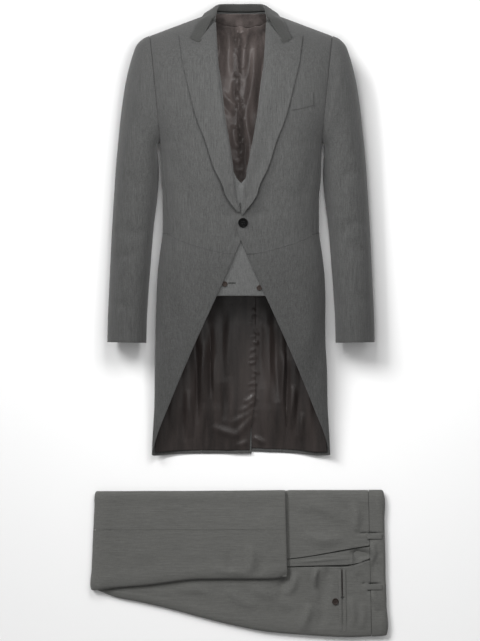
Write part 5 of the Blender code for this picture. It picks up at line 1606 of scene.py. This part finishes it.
TROUSER_CREASES = table(
    CREASE_FIELDS,
    (24, -200, 16, -266, 9, 2.2), (-29, -215, -27, -268, 8, -1.0), (48, -222, 40, -270, 9, -1.0),
    (60, -120, 72, -210, 14, 1.2), (-60, -250, 20, -272, 8, 1.2), (-250, -200, -190, -230, 20, 0.8),
    (172, -248, 168, -300, 6, 3.2), (159, -262, 165, -312, 7, -1.3),
    (192, -250, 204, -274, 6, -1.3), (130, -262, 98, -316, 9, 2.6), (112, -258, 84, -300, 8, -1.2),
    (152, -330, 143, -396, 11, 2.6), (176, -322, 182, -390, 10, -1.2),
    (262, -262, 284, -296, 8, -1.3), (246, -318, 252, -386, 9, 2.2), (276, -330, 268, -392, 9, 1.6),
    (128, -110, 250, -150, 16, 1.8), (140, -176, 232, -190, 13, 2.0),
    (250, -104, 262, -170, 10, 2.4), (20, -300, 90, -312, 12, 1.8), (-40, -300, 40, -340, 12, 1.6),
    (-150, -300, -60, -316, 9, 1.2), (60, -340, 130, -352, 12, -1.0),
    (300, -190, 306, -244, 7, 2.2), (312, -214, 300, -268, 6, -1.2), (296, -300, 310, -350, 8, 1.8),
    (244, -214, 298, -228, 8, -3.0), (128, -239, 256, -229, 2.6, 1.0),
    (250, -220, 250, -252, 2.6, 0.8), (227, -246, 227.5, -326, 2.8, -2.4),
    (256, -173.8, 322, -173.8, 1.8, -1.9), (256, -287.8, 322, -287.8, 1.8, -1.9),
    (101, -40, 109, -330, 3.0, -1.1), (263, -208, 263, -246, 7, -1.8),
    (280, -232, 312, -300, 16, -2.0), (196, -262, 176, -345, 14, -2.2),
    (120, -250, 60, -330, 22, -1.6),
)


VENT_LINE_X = (20.0, 33.0)
VENT_LINE_Y = (30, 150)
PUCKER_WIDTH = 2.6
STRAIGHT_WIDTH = 4.0
LEAF_RISE = 2.2
LEAF_FREE_Y = 960.0
LEAF_FREE_SPAN = 25
LINING_EASE_OFF = 4.5
LINING_FLOOR = -0.2
LINING_LOW_Y = 14
LINING_LOW_FADE = 90
LINING_HIGH_Y = 345
LINING_HIGH_FADE = 50
LINING_OUTER_X = 165
LINING_OUTER_FADE = 25
VEST_SATIN_FLOOR = -5.5
LAPEL_FREE_Y = BUTTON_Y + 16
LAPEL_DIP_START = 10
LAPEL_DIP = 5.0
LAPEL_DIP_OUT = 1.7
LAPEL_DIP_WIDTH = 3.0
LAPEL_DIP_TOP_Y = 960.0
LAPEL_DIP_FADE = 320.0
LAPEL_EDGE_RISE = 7.0
LAPEL_EDGE_WIDTH = 12.0
LAPEL_EDGE_START = 18
LAPEL_EDGE_TOP_Y = 860
LAPEL_EDGE_FADE = 260
FRONT_DIP = 4.0
FRONT_DIP_OUT = 2.2
FRONT_DIP_WIDTH = 2.4
FRONT_DIP_LOW_Y = CUTAWAY_Y + 2
FRONT_DIP_START = 6
FRONT_DIP_FADE = 8


def puckers(x_at, low_y, high_y, step, reach, height):
    """Small uneven ridges beside a sewn line, first on one side of it and then on the other.

    The sines stand in for chance, so that every run has the same ridges.
    """
    rows = []
    for k in range(int((high_y - low_y) / step)):
        y = low_y + step * (k + 0.35 * math.sin(2.1 * k))
        x = x_at(y)
        length = reach * (1 + 0.5 * math.sin(2.9 * k))
        away = length if math.sin(4.3 * k) > -0.3 else -length
        rise = length * (0.5 + 0.4 * math.sin(1.3 * k))
        depth = height * (1 + 0.5 * math.sin(3.7 * k))
        rows.append((x - away * 0.2, y, x + away, y + rise, PUCKER_WIDTH, depth))
    return table(CREASE_FIELDS, *rows)


def vent_line_x(y):
    """Edge of the wearer's right tail, which lies over the left one inside."""
    return blend(*VENT_LINE_X, smoothstep(*VENT_LINE_Y, y))


VEST_SATIN_FOLDS += puckers(lambda y: -5.0 + 2 * math.sin(y / 40.0), 640, 985, 13.0, 10.0, 2.4)
LINING_FOLDS += puckers(lambda y: vent_line_x(y) - 3, 120, 345, 10.0, -9.0, 1.9)


def rising(values, start, span):
    """0 up to start, and 1 from a span past it."""
    return np.clip((values - start) / span, 0, 1)


def falling(values, end, span):
    """0 from end on, and 1 up to a span before it."""
    return np.clip((end - values) / span, 0, 1)


def folds(rows, gain=1.0, sway=0.08):
    """Relief of soft creases; each row runs from one end to the other, and dies out at both."""
    def relief(points):
        x, y = points[..., 0], points[..., 1]
        total = np.zeros(x.shape)
        for row in rows:
            way = np.array((row.x2 - row.x1, row.y2 - row.y1), float)
            length = np.linalg.norm(way)
            way /= length
            along = ((x - row.x1) * way[0] + (y - row.y1) * way[1]) / length
            bend = (row.width > STRAIGHT_WIDTH) * sway * length * np.sin(3.0 * along + row.width)
            off = (x - row.x1) * way[1] - (y - row.y1) * way[0] - bend * along * (1 - along) * 4
            fade = np.clip(along, 0, 1) * np.clip(1 - along, 0, 1) * 4
            total += row.depth * np.exp(-(off / row.width) ** 2) * fade
        return gain * total
    return relief


coat_relief = folds(COAT_CREASES, gain=1.8)
sleeve_relief = folds(SLEEVE_CREASES, gain=1.6)
trouser_relief = folds(TROUSER_CREASES, gain=2.6)
lapel_folds = folds(LAPEL_FOLDS)
lining_satin_folds = folds(LINING_FOLDS, sway=0.02)
vest_satin_folds = folds(VEST_SATIN_FOLDS, gain=1.6, sway=0.04)


def forepart_relief(points):
    """Creases, and dips along the lapel's edge and, below the button, the left front's edge."""
    x, y = points[..., 0], points[..., 1]
    edge = np.vectorize(lapel_edge_x)(y) + LAPEL_DIP_OUT
    near = falling(y, LAPEL_DIP_TOP_Y, LAPEL_DIP_FADE) * rising(y, LAPEL_FREE_Y, LAPEL_DIP_START)
    beside_lapel = near * np.exp(-((np.abs(x) - edge) / LAPEL_DIP_WIDTH) ** 2)
    near = rising(y, FRONT_DIP_LOW_Y, FRONT_DIP_START) * falling(y, BUTTON_Y, FRONT_DIP_FADE)
    near = near * (np.mean(x) < 0)
    beside_front = near * np.exp(-((x - OVERLAP_X + FRONT_DIP_OUT) / FRONT_DIP_WIDTH) ** 2)
    return coat_relief(points) - LAPEL_DIP * beside_lapel - FRONT_DIP * beside_front


def lapel_relief(points):
    """The lapel's outer edge stands off the forepart near the button."""
    x, y = points[..., 0], points[..., 1]
    inside = (np.vectorize(lapel_edge_x)(y) - np.abs(x)) / LAPEL_EDGE_WIDTH
    near = rising(y, LAPEL_FREE_Y, LAPEL_EDGE_START)
    near = near * falling(y, LAPEL_EDGE_TOP_Y, LAPEL_EDGE_FADE)
    return lapel_folds(points) + LAPEL_EDGE_RISE * near * np.exp(-inside ** 2)


def leaf_relief(points):
    """The ends of the collar's leaves stand off the lapels."""
    return LEAF_RISE * falling(points[..., 1], LEAF_FREE_Y, LEAF_FREE_SPAN)


def satin_relief(points):
    """Folds of the waistcoat's back, seen from inside, where a ridge rises off the outer skin."""
    return -np.maximum(vest_satin_folds(points), VEST_SATIN_FLOOR)


def lining_relief(points):
    """Folds of the loose lining, which stands off the back cloth between its sewn borders."""
    x, y = np.abs(points[..., 0]), points[..., 1]
    loose = rising(y, LINING_LOW_Y, LINING_LOW_FADE) * falling(y, LINING_HIGH_Y, LINING_HIGH_FADE)
    loose = loose * falling(x, LINING_OUTER_X, LINING_OUTER_FADE)
    return -np.maximum(lining_satin_folds(points) + LINING_EASE_OFF * loose, LINING_FLOOR)


# Coat

SLEEVE_MIDDLE_X = 238.0
SLEEVE_MIDDLE_Z = 55.0
GARMENT_MIDDLE_Z = 60.0
SEAM_TUCK = 0.5
ARMHOLE_MIDDLE = ((ARMPIT_Y + ARMHOLE_TOP_Y) / 2, 91.0)
VENT_STEP = 4.6
VENT_STEP_X = 58.0
VENT_STEP_Y = 90
VENT_STEP_FADE_X = 30
VENT_STEP_FADE_Y = 80
NECK_LINING_LOW_Y = 955.0
NECK_LINING_TOP_Y = 997.0
NECK_LINING_X = 60.0
NECK_LINING_DEPTH = CLOTH + 2 * LAYER_GAP
NECK_LINING_ROWS = 5
NECK_LINING_COLUMNS = 9
NECK_SEAM_LEVEL = RIDGE_LEVEL - 0.5
FOREPART_FINE = FINE * 0.55
SIDE_BODY_FINE = FINE * 1.3
BACK_FINE = FINE * 1.5
LINING_FINE = FINE * 0.62
WELT_FINE = 3.0
LINING_VENT_REACH = VENT_OVERLAP - 4


def fine_pair(grids, spacing=FINE):
    """Fine outer and under grid of a piece, cut at the same lines."""
    outer, under = grids
    both = finer(np.concatenate([under, outer], axis=-1), spacing)
    return both[..., 3:], both[..., :3]


def outward(grid):
    """Direction from the garment's middle line to each point."""
    away = grid - np.array((0.0, 0.0, GARMENT_MIDDLE_Z))
    away[..., 1] = 0
    return away


def sided(grid, side):
    """The grid for the wearer's left (1) or right (-1)."""
    return mirrored(grid) if side < 0 else grid


ALLOWANCE = table(
    "inward shrink",
    (7.0, 4.0), (3.5, 3.4), (0.2, 2.9),
)


def with_allowance(grid):
    """The sleeve with its seam allowance, which lies inside the armhole."""
    away = grid[0][:, 1:] - np.array(ARMHOLE_MIDDLE)
    away /= np.linalg.norm(away, axis=1, keepdims=True)
    rows = []
    for row in ALLOWANCE:
        ring = grid[0].copy()
        ring[:, 0] -= row.inward
        ring[:, 1:] -= away * row.shrink
        rows.append(ring)
    return np.concatenate([np.array(rows), grid])


def with_vent_step(grid, side):
    """The wearer's left tail is a little shorter beside the vent."""
    if side < 0:
        return grid
    x, y = grid[..., 0], grid[..., 1]
    grid = grid.copy()
    beside = falling(x, VENT_STEP_X, VENT_STEP_FADE_X)
    grid[..., 1] += VENT_STEP * beside * falling(y, VENT_STEP_Y, VENT_STEP_FADE_Y)
    return grid


def neck_places():
    """Lining inside the coat's back, from under the waistcoat up to the neck seam."""
    places = []
    for y in spread(NECK_LINING_LOW_Y, NECK_LINING_TOP_Y, NECK_LINING_ROWS):
        level = level_at(0.0, y)
        row = []
        for x in spread(-NECK_LINING_X, NECK_LINING_X, NECK_LINING_COLUMNS):
            row.append((angle_at(x, level, back=True), min(level_at(x, y), NECK_SEAM_LEVEL)))
        places.append(row)
    return places


def lining_lift(side):
    """How far the lining lies under the coat's outer skin."""
    def under(x, y):
        lined = vent_rise(x, y, LINING_RAMP_START) if side < 0 else 0.0
        ease = LINING_EASE * smoothstep(*LINING_EASE_X, x)
        return lined - CLOTH - LAYER_GAP - ease - lining_folds(x, y)
    return under


def coat_piece(part, letter, grid, toward, thickness=CLOTH, material=coat_cloth, slot="coat_wool",
               **options):
    """One of the pieces that the coat has on both sides."""
    name = part + ("_satin_" if slot == "brown_satin" else "_cloth_") + letter
    cloth(name, ["coat_" + part + "_" + letter], grid, toward, thickness, material, slot, **options)


def dress_panels(side, letter):
    """Forepart, side body, skirt, back, lining and lapel of one side."""
    left = side > 0
    on_back = ["coat_back_" + letter]
    reach = OVERLAP_X if left else -UNDERLAP_X
    open_by = 0.0 if left else ROLL_OPEN
    grid = sided(fine_skin(forepart_places(reach), lap if left else 0.0, FOREPART_FINE,
                           edge_x=lambda y: front_edge_x(y, reach) + open_by * low_roll(y)), side)
    coat_piece("forepart", letter, grid, outward(grid), relief=forepart_relief, tuck=SEAM_TUCK,
               seams=(0, 1, 0, 1), butted=(1, 0, 0, 0), rests_on=on_back)
    grid = sided(fine_skin(side_body_places(), 0.0, SIDE_BODY_FINE), side)
    coat_piece("side_body", letter, grid, outward(grid), relief=coat_relief, tuck=SEAM_TUCK)
    grid = sided(fine_skin(skirt_places(side), 0.0, FINE), side)
    coat_piece("skirt", letter, grid, outward(grid), relief=coat_relief, tuck=SEAM_TUCK,
               seams=(0, 0, 0, 1), butted=(0, 1, 0, 1))
    places = back_places(side, 0.0 if left else VENT_OVERLAP)
    grid = sided(fine_skin(places, 0.0 if left else vent_rise, BACK_FINE), side)
    coat_piece("back", letter, with_vent_step(grid, side), -FRONTWARD, butted=(0, 0, 0, 1),
               tuck=SEAM_TUCK)
    places = lining_places(side, 0.0 if left else LINING_VENT_REACH)
    edge_x = None if left else lambda y: -vent_line_x(y) if y < VENT_TOP_Y else 0.0
    grid = fine_skin(places, lining_lift(side), LINING_FINE, edge_x=edge_x, back=True)
    grid = sided(grid, side)
    coat_piece("lining", letter, with_vent_step(grid, side), -FRONTWARD, SATIN, lining_cloth,
               "brown_satin", rests_on=on_back, relief=lining_relief)
    grids = lapel_grids(LAPEL_START_L if left else LAPEL_START_R, side)
    outer, under = [sided(g, side) for g in grids]
    coat_piece("lapel", letter, outer, FRONTWARD, DOUBLED_CLOTH, held="folded", inner=under,
               rests_on=["coat_forepart_" + letter], relief=lapel_relief)


def dress_sleeve(side, letter):
    """Top and under sleeve of one side."""
    for piece, first, last in (("top", SLEEVE_SEAM_BACK, SLEEVE_SEAM_FRONT + SLEEVE_SEGMENTS),
                               ("under", SLEEVE_SEAM_FRONT, SLEEVE_SEAM_BACK)):
        grids = fine_pair(sleeve_grids(first, last))
        outer, under = [sided(with_allowance(g), side) for g in grids]
        middles = [(side * SLEEVE_MIDDLE_X, ring[0][1], SLEEVE_MIDDLE_Z) for ring in outer]
        toward = outer - np.array(middles)[:, None]
        coat_piece(piece + "_sleeve", letter, outer, toward, relief=sleeve_relief,
                   seams=(1, 0, 1, 1), tuck=SEAM_TUCK, inner=under, butted=(0, 0, 1, 1))


def dress_coat():
    for side, letter in ((1, "l"), (-1, "r")):
        dress_panels(side, letter)
        dress_sleeve(side, letter)
    grid = fine_skin(neck_places(), -NECK_LINING_DEPTH, FINE)
    cloth("neck_lining_satin", [], grid, -FRONTWARD, SATIN, vest_satin, "brown_satin",
          rests_on=["coat_back_l"])
    outer, under = fine_pair(collar_grids())
    cloth("collar_cloth", ["coat_collar"], outer, outer - under, COLLAR_CLOTH, collar_cloth,
          "collar_wool", held="folded", rests_on=["coat_back_l"], inner=under, relief=leaf_relief)
    grid = fine_skin(welt_places(), LAYER_GAP + CLOTH, WELT_FINE)
    cloth("chest_welt_cloth", ["coat_chest_welt"], grid, outward(grid), CLOTH, coat_cloth,
          "coat_wool", rests_on=["coat_forepart_l"], relief=coat_relief)


# Waistcoat


Buttonhole = namedtuple("Buttonhole", "x y length turn")
BUTTONHOLES = (Buttonhole(-20.5, 388.0, 18.0, 0), Buttonhole(-2.0, 562.0, 15.0, 90))
HOLE_HALF_WIDTH = 1.5
HOLE_RISE = 0.9
STITCH_PITCH = 1.4
STITCH_UNEVEN = 0.16
STITCH_POINTS = 4
HOLE_SQUARENESS = 3
VEST_BACK_FINE = FINE * 0.72
BAR_RINGS = ((1.0, 0.0), (0.9, 0.8), (0.55, 1.0), (0.25, 0.2))


def vest_surface(x, y, lift):
    """Point over the waistcoat's left front."""
    return front_point(x, y, lift - VEST_LEFT_DEPTH)


def worked_bar(name, row, surface):
    """Buttonhole or bar tack: a rim of close stitches round a sunk slit."""
    turn = math.radians(row.turn)
    count = int(row.length / STITCH_PITCH) * STITCH_POINTS
    rings = []
    for share, rise in BAR_RINGS:
        ring = []
        for k in range(count):
            angle = 2 * math.pi * k / count
            stitch = 1 + STITCH_UNEVEN * (k % 2)
            squared = math.tanh(HOLE_SQUARENESS * math.cos(angle))
            along = (row.length / 2 - HOLE_HALF_WIDTH) * squared
            along += HOLE_HALF_WIDTH * share * math.cos(angle)
            off = HOLE_HALF_WIDTH * share * stitch * math.sin(angle)
            x = row.x + along * math.cos(turn) - off * math.sin(turn)
            y = row.y + along * math.sin(turn) + off * math.cos(turn)
            ring.append(surface(x, y, HOLE_RISE * rise))
        rings.append(ring)
    points = np.array(rings)
    index = np.arange(points.shape[0] * count).reshape(-1, count)
    faces = []
    for first, second in zip(index, index[1:]):
        quads = [first, np.roll(first, -1), np.roll(second, -1), second]
        faces += np.stack(quads, axis=-1).tolist()
    faces += [index[-1].tolist(), index[0][::-1].tolist()]
    place_piece(name, new_mesh(name, points.reshape(-1, 3), faces), [], collar_cloth)


def dress_waistcoat():
    for side, letter, overlap_x, depth, below in (
            (1, "l", VEST_OVERLAP_X, VEST_LEFT_DEPTH, "waistcoat_front_r"),
            (-1, "r", VEST_UNDERLAP_X, VEST_RIGHT_DEPTH, "waistcoat_back")):
        grid = fine_skin(vest_front_places(overlap_x), -depth, FINE,
                         edge_x=lambda y: vest_edge_x(y, overlap_x))
        grid = sided(grid, side)
        cloth("waistcoat_front_cloth_" + letter, ["waistcoat_front_" + letter], grid, outward(grid),
              CLOTH, vest_cloth, "waistcoat_wool", rests_on=[below])
    for number, row in enumerate(BUTTONHOLES, 1):
        worked_bar("buttonhole_" + str(number), row, vest_surface)
    back = fine_skin(vest_back_places(), -VEST_BACK_DEPTH, VEST_BACK_FINE)
    cloth("waistcoat_back_satin", ["waistcoat_back"], back, -FRONTWARD, SATIN, vest_satin,
          "brown_satin", rests_on=["coat_back_l"], relief=satin_relief)


# Trousers


SLAB_DROP = 4.5
LEG_SLAB_DROP = 1.5
SLAB_SHARP_ANGLE = 50
LOOP_OUT = 4
SLIT_X = 226.2
SLIT_WIDTH = 2.0
SLIT_LOW_Y = -318.0
SLIT_TOP_Y = -254.0
BAR_TACK = Buttonhole(228.5, -318.0, 9.0, 0)
STRIP_FINE = 2.0
SLIT_FINE = 1.0
LOWER_SECTIONS = 60
UPPER_SECTIONS = 40
FIRST_SECTION = 0.5
NEXT_SECTION = 4
LAST_SECTION = 2


def dress_pocket():
    """Jets, a dark strip of painted shade in the slit between them, and bar tack of the back
    pocket.
    """
    bands = []
    for number in (1, 2):
        x = JET_LEFT_X + JET_STEP * (number - 1)
        grids = strip_grids(x, x + JET_WIDTH, JET_BOTTOM_Y, JET_TOP_Y, seat_surface_z,
                            JET_THICKNESS, JET_LEAN)
        outer, under = fine_pair(grids, STRIP_FINE)
        bands.append(cloth("pocket_jet_cloth_" + str(number),
                           ["trousers_back_pocket_" + str(number)], outer, FRONTWARD, CLOTH,
                           trouser_cloth, "trouser_wool", inner=under, declared=False))
    # Painted shade: a strip of the dark lining satin laid in the slit between the jets, where there
    # is only shade
    grids = strip_grids(SLIT_X, SLIT_X + SLIT_WIDTH, SLIT_LOW_Y, SLIT_TOP_Y, seat_surface_z,
                        SATIN, JET_LEAN)
    outer, under = fine_pair(grids, SLIT_FINE)
    bands.append(cloth("pocket_slit_painted_shade", [], outer, FRONTWARD, SATIN, lining_cloth, "trouser_wool",
                       inner=under, declared=False))
    worked_bar("pocket_bar_tack", BAR_TACK,
               lambda x, y, lift: (x, y, seat_surface_z(x) + JET_THICKNESS + lift))
    return bands


def dress_trousers():
    wool_piece = dict(thickness=CLOTH, material=trouser_cloth, slot="trouser_wool", held="folded",
                      rests_on=["trousers_layers"])
    pocket = dress_pocket()
    for name, node_name, grids, butted, spacing in (
            ("thigh_front", "front_l", seat_grids(True), (0, 1, 0, 1), 2.8),
            ("thigh_back", "back_l", seat_grids(False), (0, 1, 0, 0), 2.8),
            ("turned_front", "front_r", turned_leg_grids(True), (0, 0, 0, 1), 3.8),
            ("turned_back", "back_r", turned_leg_grids(False), (0, 0, 1, 0), 3.8),
            ("side_pocket", "side_pocket", side_pocket_grids(), (0, 1, 1, 0), 2.0),
            ("waistband", "waistband", waistband_grids(), (1, 0, 0, 0), 1.8)):
        outer, under = fine_pair(grids, spacing)
        cloth(name + "_cloth", ["trousers_" + node_name], outer, outer - under, inner=under,
              filled=True, butted=butted, relief=trouser_relief,
              with_pieces=pocket if name == "thigh_back" else (), **wool_piece)
    for number, y in enumerate(LOOP_Y, 1):
        grids = strip_grids(WAIST_X - WAISTBAND_WIDTH - LOOP_OUT, WAIST_X - LOOP_OUT,
                            y - LOOP_WIDTH / 2, y + LOOP_WIDTH / 2, waistband_surface_z,
                            LOOP_THICKNESS)
        outer, under = fine_pair(grids, STRIP_FINE)
        cloth("belt_loop_cloth_" + str(number), ["trousers_belt_loop_" + str(number)], outer,
              FRONTWARD, inner=under, **wool_piece)
    lay_hidden_layers()


def lay_hidden_layers():
    """The layers under the visible cloth: one slab for each leg."""
    low = KNEE_X + SHEET_OFFSET + KNEE_EASE
    waist_end = WAIST_X - SHEET_OFFSET - EDGE_ROUND - SLAB_EASE
    first, second = low + FIRST_SECTION, low + NEXT_SECTION
    lower = [first, *spread(second, WAIST_X - WAISTBAND_WIDTH / 2, LOWER_SECTIONS), waist_end]
    upper = [first, *spread(second, LEG_HEM_X - LAST_SECTION, UPPER_SECTIONS)]
    slabs = [
        layered_slab(lower, trouser_top, trouser_bottom, lambda x: 0.0,
                     lambda x: trouser_height(x) - SLAB_DROP, WAIST_END),
        layered_slab(upper, trouser_top, leg_bottom, lambda x: trouser_height(x) + LEG_BASE_GAP,
                     lambda x: TURNED_LEG_HEIGHT - LEG_SLAB_DROP, HEM_END),
    ]
    both = bmesh.new()
    for slab in slabs:
        bmesh.ops.triangulate(slab, faces=[f for f in slab.faces if len(f.verts) > 4])
        holder = bpy.data.meshes.new("slab")
        slab.to_mesh(holder)
        both.from_mesh(holder)
        bpy.data.meshes.remove(holder)
    for vert in both.verts:
        vert.co = (vert.co + Vector(SHIFT)) * MM
    mesh = bpy.data.meshes.new("hidden_layers")
    both.to_mesh(mesh)
    place_piece("hidden_layers", softened(mesh, SLAB_SHARP_ANGLE), ["trousers_layers"],
                trouser_cloth)


# Floor, lights and camera

PIXEL = 0.00225
PHOTO_HEIGHT = 641
FLOOR_SIZE = 6.0
FLOOR_DROP = 0.0006
FLOOR_GREY = (0.8, 0.8, 0.8)
CAMERA_X = 0.0022
CAMERA_Y = 0.0006
CAMERA_HEIGHT = 50.0
FOCUS_HEIGHT = 0.05
SENSOR = 36.0
SOFTBOXES = table(
    "name place softness strength",
    ("top_left", (-2.4, 2.4, 3.0), 24, 2.1), ("top_right", (1.8, 2.6, 3.2), 36, 0.4),
    ("over", (0.3, -0.2, 4.0), 40, 0.45),
)
OVERHEAD_Z = 3.6
AMBIENT = 0.24
WHITE = (1, 1, 1, 1)
CHEST_LAMP = (0.0, 0.56, 0.9)
CHEST_LAMP_SIZE = 0.5
CHEST_LAMP_POWER = 6.6
STRIP_X = (-0.16, 0.2)
STRIP_PLACE = (0.45, 1.0)
STRIP_SIZE = (0.07, 1.1)
STRIP_POWER = 1.7


def lamp(name, kind, place, power):
    """A lamp at its place; returns its light and the object that holds it."""
    light = bpy.data.lights.new(name, kind)
    light.energy = power
    holder = linked(name, light)
    holder.location = place
    return light, holder


def set_stage():
    """Floor, lamps, sky and the camera of the photo, straight above."""
    shape = bmesh.new()
    bmesh.ops.create_grid(shape, x_segments=2, y_segments=2, size=FLOOR_SIZE)
    mesh = bpy.data.meshes.new("floor")
    shape.to_mesh(mesh)
    shape.free()
    floor = linked("floor", mesh)
    floor.location.z = -FLOOR_DROP
    paper = new_look("floor_paper", FLOOR_GREY, Roughness=0.9, Specular_IOR_Level=0.1)[0]
    mesh.materials.append(paper)
    for box in SOFTBOXES:
        light, holder = lamp(box.name, "SUN", box.place, box.strength)
        light.angle = math.radians(box.softness)
        holder.rotation_euler = (-Vector(box.place)).to_track_quat("-Z", "Y").to_euler()
        holder.visible_glossy = box.place[2] < OVERHEAD_Z
    light, holder = lamp("chest", "AREA", CHEST_LAMP, CHEST_LAMP_POWER)
    light.size = CHEST_LAMP_SIZE
    holder.visible_camera = holder.visible_glossy = False
    for number, x in enumerate(STRIP_X, 1):
        light, holder = lamp("strip_" + str(number), "AREA", (x, *STRIP_PLACE), STRIP_POWER)
        light.shape = "RECTANGLE"
        light.size, light.size_y = STRIP_SIZE
        holder.visible_camera = False
    world = bpy.data.worlds.new("studio")
    world.use_nodes = True
    sky = world.node_tree.nodes["Background"]
    sky.inputs["Color"].default_value = WHITE
    sky.inputs["Strength"].default_value = AMBIENT
    scene = bpy.context.scene
    scene.world = world
    scene.view_settings.view_transform = "Standard"
    camera = bpy.data.cameras.new("camera")
    camera.sensor_width = SENSOR
    camera.lens = SENSOR * (CAMERA_HEIGHT - FOCUS_HEIGHT) / (PHOTO_HEIGHT * PIXEL)
    camera.clip_end = 2 * CAMERA_HEIGHT
    scene.camera = linked("camera", camera)
    scene.camera.location = (CAMERA_X, CAMERA_Y, CAMERA_HEIGHT)


dress_coat()
dress_waistcoat()
dress_trousers()
BUTTONS = {"coat_button": black_button, "waistcoat_button_1": brown_button,
           "waistcoat_button_2": brown_button, "trousers_pocket_button": brown_button}
for button, material in BUTTONS.items():
    frame["nodes"][button].data.materials[0] = material
set_stage()
